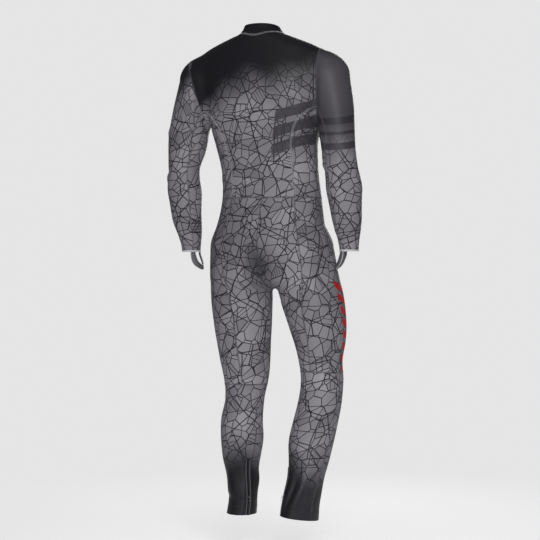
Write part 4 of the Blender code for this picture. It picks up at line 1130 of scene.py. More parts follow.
def hard_surface(name, colour, worn, roughness, metallic, scale, depth):
    """Scratched or moulded: a noise in the frame's own metres moves colour, gloss and height."""
    made, tree, shader = new_material(name)
    where = tree.nodes.new("ShaderNodeTexCoord")
    noise = tree.nodes.new("ShaderNodeTexNoise")
    noise.inputs["Scale"].default_value = scale
    noise.inputs["Detail"].default_value = 5
    stretched = vector(tree, "MULTIPLY", where.outputs["Object"], (1.0, 1.0, 0.25))
    plug(tree, noise.inputs["Vector"], stretched)
    level = noise.outputs["Fac"]
    plug(tree, shader.inputs["Base Color"], mix_colour(tree, level, colour, worn))
    plug(tree, shader.inputs["Roughness"], compute(tree, "MULTIPLY_ADD", level, 0.3, roughness - 0.15))
    shader.inputs["Metallic"].default_value = metallic
    raise_surface(tree, shader, level, depth, 0.5)
    return made


TAPE_RIBS = 1400.0  # to a metre


def tape_with_painted_edge_highlights(name, colour, painted_highlight, middle, half):
    """A tape whose two rolled edges are painted paler than the flat between them, as a painted highlight.
    """
    made, tree, shader = new_material(name)
    place = flat_cut(tree)
    away = compute(tree, "ABSOLUTE", compute(tree, "SUBTRACT", parts_of(tree, place)[0], middle))
    edge = soft_edge(tree, away, half - 0.0003, half + 0.0003)
    tint = mix_colour(tree, edge, colour, painted_highlight)
    knit_surface(tree, shader, tint, place, roughness=0.5, ribs=TAPE_RIBS)
    return made


COLLAR_KNIT = plain_knit("collar_knit", srgb(22, 22, 26), roughness=0.55, gloss=0.08, ribs=500.0)
LOOP_KNIT = plain_knit("loop_knit", srgb(92, 91, 95))
INSIDE_KNIT = plain_knit("inside_knit", srgb(58, 57, 61))
ELASTIC = plain_knit("pale_elastic", srgb(196, 196, 198), roughness=0.65, ribs=700.0, depth=0.0002)
TAPE = plain_knit("zip_tape", srgb(30, 30, 33), roughness=0.6, ribs=TAPE_RIBS, depth=0.0001)
# The ankle tape's rolled edges carry a painted highlight in pale grey.
ANKLE_TAPE = tape_with_painted_edge_highlights("ankle_tape", srgb(22, 22, 25), srgb(78, 76, 83), 0.0094, 0.0047)
TEETH = hard_surface("zip_teeth", srgb(28, 28, 31), srgb(44, 44, 48), 0.40, 0.0, 900, 0.00003)
METAL = hard_surface("zip_metal", srgb(120, 120, 124), srgb(168, 168, 172), 0.34, 1.0, 1500, 0.00002)


def thread(name, colour, worn, roughness):
    return hard_surface(name, colour, worn, roughness, 0.0, 2500, 0.00008)


PALE_THREAD = thread("pale_thread", srgb(150, 150, 155), srgb(182, 182, 186), 0.60)
SEAM_THREAD = thread("seam_thread", srgb(74, 73, 78), srgb(96, 95, 100), 0.65)
DARK_THREAD = thread("dark_thread", srgb(34, 33, 37), srgb(52, 51, 56), 0.65)
print("materials:", len(bpy.data.materials))

# %% [markdown]
# ## A panel of cloth
#
# A panel is a grid of points between four seams. Coons' rule fills it from its edges, and the points
# are slid onto the form. The cloth's outer face is that grid, raised by the creases and the cloth's
# thickness, and Solidify gives it its inner face. One extra row just inside each seam lets the edge
# dip, as cloth does where the stitches pull it down.

# %% From four seams to a grid
EDGE_DIP = 0.00035
EDGE_ROWS = 0.3  # the extra row's place in the first cell


def coons(bottom, top, left, right):
    u = np.linspace(0, 1, len(bottom))[None, :, None]
    v = np.linspace(0, 1, len(left))[:, None, None]
    along = (1 - v) * bottom[None] + v * top[None]
    across = (1 - u) * left[:, None] + u * right[:, None]
    corners = (1 - v) * ((1 - u) * bottom[0] + u * bottom[-1]) + v * ((1 - u) * top[0] + u * top[-1])
    return along + across - corners


def patch(bottom, top, left, right):
    grid = coons(bottom, top, left, right)
    inner = grid[1:-1, 1:-1]
    grid[1:-1, 1:-1] = onto_form(inner.reshape(-1, 3), steps=16).reshape(inner.shape)
    return grid


def with_edge_rows(grid):
    """Adds a row close to each edge."""
    for axis in (0, 1):
        grid = np.moveaxis(grid, axis, 0)
        first = grid[:1] + (grid[1:2] - grid[:1]) * EDGE_ROWS
        last = grid[-1:] + (grid[-2:-1] - grid[-1:]) * EDGE_ROWS
        grid = np.concatenate([grid[:1], first, grid[1:-1], last, grid[-1:]])
        grid = np.moveaxis(grid, 0, axis)
    return grid


def inset_edges(grid, normals, edges, inset):
    moved = grid.copy()
    ways = {
        "bottom": (np.s_[0, :], 1),
        "top": (np.s_[-1, :], -1),
        "left": (np.s_[:, 0], -1),
        "right": (np.s_[:, -1], 1),
    }
    for edge in edges:
        place, way = ways[edge]
        inward = way * np.cross(normals[place], np.gradient(grid[place], axis=0))
        inward = inward / np.maximum(np.linalg.norm(inward, axis=1)[:, None], 1e-9)
        moved[place] += inward * inset - normals[place] * EDGE_DIP
    return moved


# %% Where the print is dark, plain or tonal, and where shade is painted in
YOKE_FADE = (1.172, 1.338)  # the heights between which grey turns to near black
LEFT_SLEEVE_FADE = (1.236, 1.318)
ANKLE_FADE = (0.118, 0.262)
ANKLE_PLAIN = (0.100, 0.160)
RIGHT_SLEEVE_PLAIN = (1.040, 1.165)
# Painted shade: soft dark spots in the colour, in the seat's cleft and over the left buttock.
SHADOWS = [
    # middle x, middle height, half width, half height, darkness
    (0.0, 0.745, 0.042, 0.062, 0.74),
    (0.10, 0.82, 0.08, 0.12, 0.20),
]
BLADE_BARS = [(1.190, 0.014), (1.146, 0.014), (1.102, 0.014)]  # height at x = -0.1, half width
BLADE_BAR_SLANT = -0.30
BLADE_BARS_END = -0.058
SLEEVE_BARS = [(1.172, 0.010), (1.136, 0.005), (1.098, 0.010)]  # middle height, half width
SLEEVE_BAR_SLANT = 0.22
LEFT_SLEEVE = ("sleeve_outer_left", "sleeve_under_left")
RIGHT_SLEEVE = ("sleeve_outer_right", "sleeve_under_right")


def print_areas(points, name):
    """For each point: how dark (the print's dark areas and painted shade), how plain, and how far inside a
    tonal bar.
    """
    x, y, height = points.T
    cloud = 0.008 * (np.sin(38 * x + 1.1) + np.sin(61 * x - 23 * height))
    fade_low, fade_high = LEFT_SLEEVE_FADE if name in LEFT_SLEEVE else YOKE_FADE
    if name not in LEFT_SLEEVE:
        fade_high = fade_high - 0.13 * x - 4.2 * np.maximum(x - 0.03, 0) ** 2
    dark = smooth_step(height, fade_low + cloud, fade_high + cloud)
    outer = smooth_step(-x, 0.100, 0.155)
    fade = 0.030 * outer + 0.012 * np.sin(44 * x + 31 * y)
    ankle = 1 - smooth_step(height + fade, *ANKLE_FADE)
    dark = np.maximum(dark, ankle * (1 - 0.16 * outer))
    # Darker above the knee, with the painted shade of SHADOWS added on top.
    shade = 0.08 * smooth_step(height, 0.42, 0.52)
    for at_x, at_height, wide, tall, darkness in SHADOWS:
        shade = shade + darkness * np.exp(-(((x - at_x) / wide) ** 2) - ((height - at_height) / tall) ** 2)
    dark = np.maximum(dark, shade)
    plain = 1 - smooth_step(height + fade, *ANKLE_PLAIN)
    tonal = np.full(len(points), -0.05)
    if name in RIGHT_SLEEVE:
        plain = smooth_step(height, *RIGHT_SLEEVE_PLAIN)
        dark = 0.35 * smooth_step(height, 1.00, 1.10) - 0.15 * smooth_step(height, 1.17, 1.24)
        dark = dark + 0.75 * smooth_step(height, 1.33, 1.40)
        slanted = height + SLEEVE_BAR_SLANT * (y - ARM_Y)
        tonal = np.max([half - np.abs(slanted - middle) for middle, half in SLEEVE_BARS], axis=0)
    if name in ("back", "side_back_right"):
        slanted = height - BLADE_BAR_SLANT * (x + 0.1)
        bars = [half - np.abs(slanted - middle) for middle, half in BLADE_BARS]
        tonal = np.minimum(np.max(bars, axis=0), BLADE_BARS_END - x - 0.25 * (height - 1.15))
        dark = np.maximum(dark, 0.30 * smooth_step(-x, 0.02, 0.10) * smooth_step(height, 1.02, 1.12))
    return np.stack([dark, plain, tonal], axis=1)


# %% [markdown]
# The grid's own steps give the flat cut. The length walked along a row and up a column is each
# point's place on the table where the panel was cut, and the largest walks are the piece's size.

# %% From a grid to a sewn-on panel
PANELS = {}
PRINT_SHIFT = 1.37  # metres between one panel's print and the next one's


def walk(grid, axis):
    steps = np.linalg.norm(np.diff(grid, axis=axis), axis=2)
    start = np.zeros_like(np.take(steps, [0], axis=axis))
    return np.cumsum(np.concatenate([start, steps], axis=axis), axis=axis)


def grid_mesh(name, points, layers):
    """A mesh of quads over a grid of points, with UV maps given for each point."""
    rows, columns, _ = points.shape
    number = np.arange(rows * columns).reshape(rows, columns)
    corners = [number[:-1, :-1], number[:-1, 1:], number[1:, 1:], number[1:, :-1]]
    faces = np.stack(corners, axis=-1).reshape(-1, 4)
    mesh = bpy.data.meshes.new(name)
    mesh.from_pydata(points.reshape(-1, 3).tolist(), [], faces.tolist())
    for layer, places in layers.items():
        found = mesh.uv_layers.new(name=layer)
        found.data.foreach_set("uv", places.reshape(-1, 2)[faces.ravel()].astype(np.float32).ravel())
    mesh.shade_smooth()
    mesh.update()
    return mesh


def add_piece(name, mesh, *materials, replaces=()):
    for finish in materials:
        mesh.materials.append(finish)
    piece = bpy.data.objects.new(name, mesh)
    bpy.context.scene.collection.objects.link(piece)
    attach(piece, "suit")
    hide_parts(*replaces)
    return piece


def solidify(piece, thickness):
    wall = piece.modifiers.new("cloth", "SOLIDIFY")
    wall.thickness = thickness
    wall.offset = -1
    wall.use_quality_normals = True
    wall.material_offset = 1
    wall.material_offset_rim = 1


def panel(
    name, grid, finish, edges="bottom top left right", thickness=CLOTH, lift=None, bars=None, start=None
):
    """One cut piece: it is raised off the form, gets its flat cut and its print, and its area is noted.

    The print is laid from the middle of each row, or from the column that start names.
    """
    grid = with_edge_rows(grid)
    from_height = start is not None
    start = start if from_height else grid.shape[1] // 2
    normals = skin_normals(grid)
    raised = grid + cloth_lift(grid) * normals
    if lift is not None:
        raised = raised + lift(grid) * normals
    outer = inset_edges(raised, normals, edges.split(), SEAM_GAP / 2) + thickness * normals
    across, along = walk(grid, 1), walk(grid, 0)
    across = across - across[:, start, None]
    shift = PRINT_SHIFT * len(PANELS)
    upright = grid[..., 2] if from_height else along
    layers = {"cut": np.stack([across + shift, upright], axis=-1)}
    if bars is not None:
        layers["bars"] = np.stack([bars(grid), grid[..., 2]], axis=-1)
    mesh = grid_mesh(name, settle(outer), layers)
    areas = mesh.attributes.new("areas", "FLOAT_VECTOR", "POINT")
    found = print_areas(grid.reshape(-1, 3), name)
    areas.data.foreach_set("vector", found.astype(np.float32).ravel())
    piece = add_piece(name + "_cloth", mesh, finish, INSIDE_KNIT, replaces=[name])
    solidify(piece, thickness)
    size = (float(np.ptp(across, axis=1).max()), float(along.max()))
    cells = np.cross(grid[1:, :-1] - grid[:-1, :-1], grid[:-1, 1:] - grid[:-1, :-1])
    area = min(float(np.linalg.norm(cells, axis=2).sum()), size[0] * size[1])
    PANELS[name] = area


def facing(grid, side):
    """The same grid with its columns turned so that its faces point out on either side."""
    return grid if side == "right" else grid[:, ::-1]


# %% [markdown]
# ## Back, sides and fronts
#
# From the waist seam up. The back is one piece from armhole to armhole and up to the collar, two
# side backs run up under the arms, and the fronts meet at the zip. Each seam is kept by name,
# because the stitches follow it later.

# %% Back, sides and fronts
SEAMS = {}
BACK_STEPS, SIDE_BACK_STEPS, FRONT_STEPS, SIDE_STEPS = 6 * FINE, 4 * FINE, 8 * FINE, 8 * FINE
PRINCESS = 40  # the angle of the seam between back and side back at the waist
PRINCESS_RISE = [(PRINCESS, WAIST_SEAM), (40, 1.05), (41, 1.11), (46, 1.165)]  # angle, height


def waist_ring(side):
    angles = np.concatenate(
        [
            np.linspace(0, PRINCESS, BACK_STEPS + 1),
            np.linspace(PRINCESS, 90, SIDE_BACK_STEPS + 1)[1:],
            np.linspace(90, 180, FRONT_STEPS + 1)[1:],
        ]
    )
    ring = trunk_ring(SIGN[side] * angles, WAIST_SEAM)
    ring[[0, -1], 0] = 0
    return ring


NECK = neck_ring()
WAIST = {side: waist_ring(side) for side in SIGN}
ARMHOLES = {side: armhole(side) for side in SIGN}
for side, ring in ARMHOLES.items():
    sign = SIGN[side]
    corners = [trunk_point(sign * angle, height) for angle, height in PRINCESS_RISE]
    SEAMS["back_" + side] = seam(corners + [ring[TO_BACK_SEAM]], SIDE_STEPS)
    corners = [trunk_point(sign * 90, WAIST_SEAM), trunk_point(sign * 90, 1.08), ring[TO_SIDE_SEAM]]
    SEAMS["side_" + side] = seam(corners, SIDE_STEPS)
    neck_end = NECK[NECK_TO_SHOULDER if sign > 0 else NECK_STEPS - NECK_TO_SHOULDER]
    SEAMS["shoulder_" + side] = seam([neck_end, ring[0]], 3 * FINE)
    SEAMS["armhole_" + side] = np.concatenate([ring, ring[:1]])
    SEAMS["waist_" + side] = WAIST[side]

EDGES = {}
for side, ring in ARMHOLES.items():
    EDGES[side] = np.concatenate([SEAMS["back_" + side], ring[TO_BACK_SEAM - 1 :: -1]])
NAPE = np.concatenate([NECK[NECK_TO_SHOULDER:0:-1], NECK[:1], NECK[: -NECK_TO_SHOULDER - 1 : -1]])
BACK_TOP = np.concatenate([SEAMS["shoulder_left"][:0:-1], NAPE, SEAMS["shoulder_right"][1:]])
BACK_FOOT = np.concatenate([WAIST["left"][BACK_STEPS::-1], WAIST["right"][1 : BACK_STEPS + 1]])
panel("back", patch(BACK_FOOT, BACK_TOP, EDGES["left"], EDGES["right"]), PRINT_KNIT)

for side, ring in ARMHOLES.items():
    behind = WAIST[side][BACK_STEPS : BACK_STEPS + SIDE_BACK_STEPS + 1]
    under = ring[TO_BACK_SEAM : TO_SIDE_SEAM + 1]
    grid = patch(behind, under, SEAMS["back_" + side], SEAMS["side_" + side])
    panel("side_back_" + side, facing(grid, side), PRINT_KNIT)
    round_neck = NECK if side == "left" else np.roll(NECK[::-1], 1, axis=0)
    from_front = round_neck[NECK_STEPS // 2 : NECK_TO_SHOULDER : -1]
    throat = np.concatenate([from_front, SEAMS["shoulder_" + side]])
    outer = np.concatenate([SEAMS["side_" + side], ring[TO_SIDE_SEAM + 1 :], ring[:1]])
    THROAT = front_line(WAIST_SEAM, round_neck[NECK_STEPS // 2], len(outer) - 1)
    front = WAIST[side][-1 : -FRONT_STEPS - 2 : -1]
    panel("front_" + side, facing(patch(front, throat, THROAT, outer)[:, ::-1], side), PRINT_KNIT)
print("upper panels:", sorted(PANELS))

# %% [markdown]
# ## Collar
#
# The stand-up collar is the same knit doubled over, so it is thicker and rolls at its top edge. Two
# soft ridges run round it where the doubled cloth is stitched through.

# %% Collar
COLLAR_ROWS = 3 * FINE
RIDGES = [(0.36, 0.10, 0.0009), (0.72, 0.09, 0.0007)]  # place up the collar, half width, height


def collar_lift(grid):
    up = np.linspace(0, 1, len(grid))
    lift = sum(height * np.exp(-(((up - place) / half) ** 2)) for place, half, height in RIDGES)
    return (lift - 0.0008 * smooth_step(up, 0.93, 1.0))[:, None, None]


top = collar_top()
rings = [NECK]
for row in range(1, COLLAR_ROWS):
    rings.append(onto_form(NECK + (top - NECK) * row / COLLAR_ROWS))
rings.append(top)
HALF = NECK_STEPS // 2
collar = np.array([np.concatenate([ring[HALF:], ring[: HALF + 1]]) for ring in rings])
COLLAR_FRONT = collar[:, 0]
SEAMS["neck"] = collar[0]
panel("collar", collar[:, ::-1], COLLAR_KNIT, "bottom left right", COLLAR_CLOTH, lift=collar_lift)
print("collar:", round(float(steps_along(collar[0]).sum()), 3), "m round its seam")

# %% [markdown]
# ## Sleeves
#
# An outer and an under panel make each sleeve. The under one faces the body. At the cuff the knit
# simply ends in a narrow pale elastic, so that edge is left open and not inset.

# %% Sleeves
CUFFS = {}
for side in SIGN:
    rings = sleeve_rings(side)
    outer = np.concatenate([rings[:, TO_SLEEVE_FRONT:], rings[:, : TO_BACK_SEAM + 1]], axis=1)
    under = rings[:, TO_BACK_SEAM : TO_SLEEVE_FRONT + 1]
    for name, grid in (("sleeve_outer_", outer), ("sleeve_under_", under)):
        panel(name + side, facing(grid[::-1], side)[:, ::-1], PRINT_KNIT, "top left right")
    SEAMS["sleeve_back_" + side] = rings[:, TO_BACK_SEAM]
    SEAMS["sleeve_front_" + side] = rings[:, TO_SLEEVE_FRONT]
    CUFFS[side] = rings[-1]
    print(side, "sleeve:", round(float(steps_along(rings[:, 0]).sum()), 3), "m down its outside")

# %% [markdown]
# ## Legs
#
# Below the waist, a seat panel and a hip panel run on either side of a long seam down the back of
# the thigh. The front is one piece. All three end at the knee seam, which sits lower on the straight
# leg. The hem is turned up once, so its lowest 25 mm are a little thicker.

# %% Legs
THIGH_TOP = 0.60
HIP_LEVEL = 0.86
SEAT_ROWS, INSEAM_ROWS, THIGH_ROWS, SHIN_ROWS = 10 * FINE, 2 * FINE, 8 * FINE, 14 * FINE
HEM_HEIGHT = 0.025
ANKLE_ZIP_TOP = 0.165
ANKLE_ZIP_ANGLE = 30  # from the inside of the leg
ANKLES = {}


def hem_lift(grid):
    return 0.0005 * (1 - smooth_step(grid[..., 2:], HEM_HEIGHT - 0.002, HEM_HEIGHT + 0.002))


def from_side_seam(side):
    """Metres round the thigh from the side seam, towards the front."""

    def measure(grid):
        size = limb_sections(LEG_CUT, LEG_POSE[side], grid[..., 2])
        turn = np.radians(size["turn"])
        dx, dy = grid[..., 0] - size["x"], grid[..., 1] - size["y"]
        across = SIGN[side] * (dx * np.cos(turn) + dy * np.sin(turn))
        along = dy * np.cos(turn) - dx * np.sin(turn)
        return np.arctan2(-along, across) * size["side"]

    return measure


FRONT_CENTRE = centre_line(WAIST_SEAM, SEAT_ROWS - INSEAM_ROWS, front=True)
BACK_CENTRE = centre_line(WAIST_SEAM, SEAT_ROWS - INSEAM_ROWS)
SEAMS["seat_middle"] = BACK_CENTRE
for side, sign in SIGN.items():
    pose, waist = LEG_POSE[side], WAIST[side]
    to_side = BACK_STEPS + SIDE_BACK_STEPS
    inner_back = np.linspace(-90, 0, BACK_STEPS + 1)
    back_angles = sign * np.concatenate([inner_back, np.linspace(0, 90, SIDE_BACK_STEPS + 1)[1:]])
    front_angles = np.linspace(sign * 90, sign * 270, FRONT_STEPS + 1)
    levels = np.linspace(THIGH_TOP, KNEE_SEAM[side], THIGH_ROWS + 1)
    back_rings = limb_rings(LEG_CUT, pose, levels, back_angles)
    front_rings = limb_rings(LEG_CUT, pose, levels, front_angles)
    inseam = seam([BACK_CENTRE[-1], back_rings[0, 0]], INSEAM_ROWS)
    outer_thigh = limb_rings(LEG_CUT, pose, [0.72], [sign * 90])[0, 0]
    corners = [waist[to_side], trunk_point(sign * 90, HIP_LEVEL), outer_thigh, back_rings[0, -1]]
    side_line = seam(corners, SEAT_ROWS)
    behind_thigh = limb_rings(LEG_CUT, pose, [0.74], [sign * 12])[0, 0]
    over_seat = trunk_point(sign * 42, HIP_LEVEL)
    corners = [waist[BACK_STEPS], over_seat, behind_thigh, back_rings[0, BACK_STEPS]]
    princess = seam(corners, SEAT_ROWS)
    middle = np.concatenate([BACK_CENTRE, inseam[1:]])
    seat = patch(waist[: BACK_STEPS + 1], back_rings[0, : BACK_STEPS + 1], middle, princess)
    hip = patch(waist[BACK_STEPS : to_side + 1], back_rings[0, BACK_STEPS:], princess, side_line)
    front_middle = np.concatenate([FRONT_CENTRE, inseam[1:]])
    front = patch(waist[to_side:], front_rings[0], side_line, front_middle)
    seat = np.concatenate([seat, back_rings[1:, : BACK_STEPS + 1]])
    hip = np.concatenate([hip, back_rings[1:, BACK_STEPS:]])
    front = np.concatenate([front, front_rings[1:]])
    bars = from_side_seam(side) if side == "right" else None
    finish = BAR_KNIT if side == "right" else PRINT_KNIT
    panel("seat_" + side, facing(seat[::-1], side), PRINT_KNIT, start=0 if side == "right" else -1)
    panel("hip_" + side, facing(hip[::-1], side), finish, bars=bars)
    panel("thigh_front_" + side, facing(front[::-1], side), finish, bars=bars)
    levels = np.linspace(KNEE_SEAM[side], 0, SHIN_ROWS + 1)
    calf = limb_rings(LEG_CUT, pose, levels, back_angles)
    shin = limb_rings(LEG_CUT, pose, levels, front_angles)
    panel("calf_" + side, facing(calf[::-1], side), PRINT_KNIT, "top left right", lift=hem_lift)
    panel("shin_" + side, facing(shin[::-1], side), PRINT_KNIT, "top left right", lift=hem_lift)
    SEAMS["princess_" + side] = np.concatenate([princess, back_rings[1:, BACK_STEPS]])
    SEAMS["outside_" + side] = np.concatenate([side_line, back_rings[1:, -1], calf[1:, -1]])
    SEAMS["inside_" + side] = np.concatenate([inseam, back_rings[1:, 0], calf[1:, 0]])
    SEAMS["knee_" + side] = np.concatenate([calf[0], shin[0, 1:]])
    column = round((90 - ANKLE_ZIP_ANGLE) / 90 * BACK_STEPS)
    first = round((1 - ANKLE_ZIP_TOP / KNEE_SEAM[side]) * SHIN_ROWS / FINE) * FINE
    ANKLES[side] = calf[first:, column]
print("panels:", len(PANELS), "cloth:", round(sum(PANELS.values()), 3), "square metres")

# %% [markdown]
# ## Strips and stitches
#
# Bindings, tapes and loops are strips: a small cross-section carried along a line, square to the
# cloth. Stitches are short threads that sink at both ends. Thousands of them are one joined mesh
# for each seam, because each is only a few faces.

# %% Strips


def on_cloth(line):
    normals = skin_normals(line)
    return line + cloth_lift(line) * normals, normals


def strip_mesh(name, line, normals, profile, closed=False, widths=1.0):
    """A profile of (across, outwards) corners carried along a line."""
    if closed:
        along = np.roll(line, -1, axis=0) - np.roll(line, 1, axis=0)
    else:
        along = np.gradient(line, axis=0)
    across = unit(np.cross(along, normals))
    profile = np.array(profile)[None] * np.reshape(widths, (-1, 1, 1)) ** [1, 0]
    rings = line[:, None] + profile[:, :, :1] * across[:, None] + profile[:, :, 1:] * normals[:, None]
    walked = walked_along(line)
    rings = np.concatenate([rings, rings[:, :1]], axis=1)
    loop = np.concatenate([profile, profile[:, :1]], axis=1)
    girth = np.linalg.norm(np.diff(loop, axis=1), axis=2)
    girth = np.concatenate([np.zeros((len(girth), 1)), np.cumsum(girth, axis=1)], axis=1)
    girth = np.broadcast_to(girth, rings.shape[:2])
    if closed:
        rings = np.concatenate([rings, rings[:1]])
        girth = np.concatenate([girth, girth[:1]])
        walked = np.append(walked, walked[-1] + np.linalg.norm(line[0] - line[-1]))
    layers = {"cut": np.stack([girth, np.broadcast_to(walked[:, None], girth.shape)], axis=-1)}
    mesh = grid_mesh(name, settle(rings), layers)
    tidy_mesh(mesh, not closed)
    return mesh


def tidy_mesh(mesh, capped):
    """Welds the seam of a swept strip, closes its ends, and turns its faces outwards."""
    work = bmesh.new()
    work.from_mesh(mesh)
    bmesh.ops.remove_doubles(work, verts=work.verts, dist=1e-6)
    if capped:
        bmesh.ops.holes_fill(work, edges=[edge for edge in work.edges if edge.is_boundary], sides=0)
    bmesh.ops.recalc_face_normals(work, faces=work.faces)
    work.to_mesh(mesh)
    work.free()


def rounded_strip(half_width, low, high, steps=4):
    """A flat strip with rounded long edges."""
    radius = min((high - low) / 2, half_width)
    middle = (low + high) / 2
    corners = []
    for way in (1, -1):
        for angle in np.linspace(-90, 90, steps + 1):
            turn = math.radians(angle)
            reach = half_width - radius + radius * math.cos(turn)
            corners.append((way * reach, middle + way * radius * math.sin(turn)))
    return corners


# %% Threads
SEWING = (0.00085, 0.00055)  # a thread's width and height
HEM_SEWING = (0.0008, 0.0006)
THREAD_FACES = [(0, 2, 4), (0, 4, 1), (1, 4, 3), (2, 5, 7, 4), (4, 7, 6, 3), (5, 8, 7), (7, 8, 9)]
THREAD_FACES += [(7, 9, 6), (0, 1, 9, 8), (0, 8, 5, 2), (1, 3, 6, 9)]


def copied_faces(shape, corners, count):
    """The same faces for each of many like blocks in one mesh."""
    return [tuple(corners * k + corner for corner in face) for k in range(count) for face in shape]


def threads(name, starts, ends, normals, sewing, finish):
    """One joined mesh of short threads. Each has a raised middle and ends that sink into the cloth."""
    width, height = sewing
    run = ends - starts
    sideways = unit(np.cross(run, normals)) * width / 2
    rise = normals * height
    sink = -0.3 * rise
    points = np.stack(
        [
            starts + sink - 0.6 * sideways,
            starts + sink + 0.6 * sideways,
            starts + 0.25 * run + 0.5 * rise - sideways,
            starts + 0.25 * run + 0.5 * rise + sideways,
            starts + 0.25 * run + rise,
            starts + 0.75 * run + 0.5 * rise - sideways,
            starts + 0.75 * run + 0.5 * rise + sideways,
            starts + 0.75 * run + rise,
            ends + sink - 0.6 * sideways,
            ends + sink + 0.6 * sideways,
        ],
        axis=1,
    )
    faces = copied_faces(THREAD_FACES, 10, len(points))
    mesh = bpy.data.meshes.new(name)
    mesh.from_pydata(settle(points).reshape(-1, 3).tolist(), [], faces)
    mesh.shade_smooth()
    tidy_mesh(mesh, False)
    return add_piece(name, mesh, finish)


def stitch_line(line, pitch, above):
    """Evenly spaced places along a line on the cloth: the points, the way along, across and out."""
    places = resample(line, max(2, round(steps_along(line).sum() / pitch)))
    raised, normals = on_cloth(onto_form(places, steps=3))
    along = unit(np.gradient(raised, axis=0))
    return raised + above * normals, along, np.cross(along, normals), normals


def flatlock(name, line, finish, half=0.0022, pitch=0.0034, above=CLOTH):
    """A flat seam: slanted threads across the join, held by a row of short stitches on each side."""
    points, along, across, normals = stitch_line(line, pitch, above - EDGE_DIP * 0.4)
    points, along, across, normals = (values[1:-1] for values in (points, along, across, normals))
    lean = 0.35 * pitch * along
    starts = [points - half * across - lean]
    ends = [points + half * across + lean]
    for way in (-1, 1):
        row = points + way * (half + 0.0004) * across
        starts.append(row - 0.40 * pitch * along)
        ends.append(row + 0.40 * pitch * along)
    out = np.concatenate([normals] * 3)
    threads(name, np.concatenate(starts), np.concatenate(ends), out, SEWING, finish)


# %% [markdown]
# ## Sewing
#
# Most seams are sewn in a thread close to the print's grey. The long seams of the back are set off
# with pale thread, and so is the collar. In the dark areas the thread is dark.

# %% Sewing the seams
PALE_SEAMS = ["back_left", "back_right", "neck"]
DARK_SEAMS = ["shoulder_left", "shoulder_right"]
for name, line in SEAMS.items():
    finish = PALE_THREAD if name in PALE_SEAMS else DARK_THREAD if name in DARK_SEAMS else SEAM_THREAD
    flatlock("seam_" + name, line, finish, above=COLLAR_CLOTH if name == "neck" else CLOTH)
print("sewn seams:", len(SEAMS))

# %% Hems
ZIGZAG_PITCH = 0.0032
ZIGZAG_HALF = 0.0016


def by_turns(count):
    """1 and -1 by turns, as a column."""
    return np.where(np.arange(count) % 2 == 0, 1, -1)[:, None]


for side in SIGN:
    ring = limb_rings(LEG_CUT, LEG_POSE[side], [HEM_HEIGHT], np.linspace(0, 360, FINE_STOPS))[0]
    points, along, across, normals = stitch_line(ring, ZIGZAG_PITCH, CLOTH)
    corners = points + by_turns(len(points)) * ZIGZAG_HALF * across
    threads("hem_stitch_" + side, corners[:-1], corners[1:], normals[:-1], HEM_SEWING, DARK_THREAD)
    print(side, "hem:", len(points) - 1, "stitches")

# %% [markdown]
# ## Cuffs and thumb loops
#
# A narrow pale elastic is sewn round each cuff. Below it, a loop of knit goes round the thumb and
# holds the sleeve down inside a glove. Both its edges are bound with the same elastic.

# %% Cuffs and thumb loops
BINDING = 0.0052
LOOP_BINDING = 0.0020
WRIST_HALF = 0.0275
THUMB_LOOP = Sections(
    "along angle drop spread width",
    [
        (0.00, -34, 0.000, 0.0000, 0.016),
        (0.07, -34, 0.006, 0.0000, 0.017),
        (0.16, -37, 0.016, 0.0015, 0.019),
        (0.33, -50, 0.034, 0.0050, 0.020),
        (0.50, -84, 0.046, 0.0090, 0.016),
        (0.67, -118, 0.038, 0.0080, 0.015),
        (0.84, -135, 0.016, 0.0030, 0.015),
        (0.93, -137, 0.006, 0.0000, 0.015),
        (1.00, -137, 0.000, 0.0000, 0.015),
    ],
)


for side, ring in CUFFS.items():
    line, normals = on_cloth(ring - [0, 0, SEAM_GAP + BINDING / 2])
    section = rounded_strip(BINDING / 2, 0, 0.0021)
    mesh = strip_mesh("cuff_binding_" + side, line, normals, section, closed=True)
    piece = add_piece("cuff_elastic_" + side, mesh, ELASTIC, replaces=["cuff_binding_" + side])

    path = THUMB_LOOP.at(np.linspace(0, 1, 61))
    placed = ARM_POSE[side].at(np.array([CUFF]))
    turn = np.radians(path["angle"]) * SIGN[side]
    away = np.stack([np.sin(turn), np.cos(turn), turn * 0], axis=1)
    wrist = np.array([placed["x"][0], placed["y"][0], CUFF])
    line = wrist + away * (WRIST_HALF + path["spread"])[:, None]
    line[:, 2] -= path["drop"] + SEAM_GAP * 3 + BINDING
    half = path["width"] / 2
    cloth = half - LOOP_BINDING
    section = rounded_strip(1.0, 0.0001, 0.0011, 2)
    mesh = strip_mesh("thumb_loop_" + side, line, away, section, widths=cloth)
    loop = add_piece("thumb_strap_" + side, mesh, LOOP_KNIT, replaces=["thumb_loop_" + side])
    across = unit(np.cross(np.gradient(line, axis=0), away))
    section = rounded_strip(LOOP_BINDING / 2, -0.0002, 0.0014)
    for name, way in (("rear", 1), ("front", -1)):
        edge = line + way * (half - LOOP_BINDING / 2)[:, None] * across
        mesh = strip_mesh(f"loop_edge_{name}_{side}", edge, away, section)
        piece = add_piece(f"thumb_binding_{name}_{side}", mesh, ELASTIC)

# %% [markdown]
# ## Zips
#
# A zip is a woven tape, two rows of teeth that mesh, a slider and a pull. The slider and the pull
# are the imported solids, softened with a bevel, because they are what moves. The solid strip of teeth
# is only a stand-in, and here each tooth is its own block, turned half a pitch from its partner.

# %% Tape and teeth
TOOTH_PITCH = 0.0021
ZIP_CLEAR = CLOTH + SEAM_GAP
TAPE_TOP = ZIP_CLEAR + 0.0007
TOOTH_HEIGHT = 0.0011
TOOTH = [  # metres across the zip, shares of the pitch along it
    (-0.0006, 0.42),
    (0.0006, 0.42),
    (0.0010, 0.20),
    (0.0027, 0.30),
    (0.0027, -0.30),
    (0.0010, -0.20),
    (0.0006, -0.42),
    (-0.0006, -0.42),
]


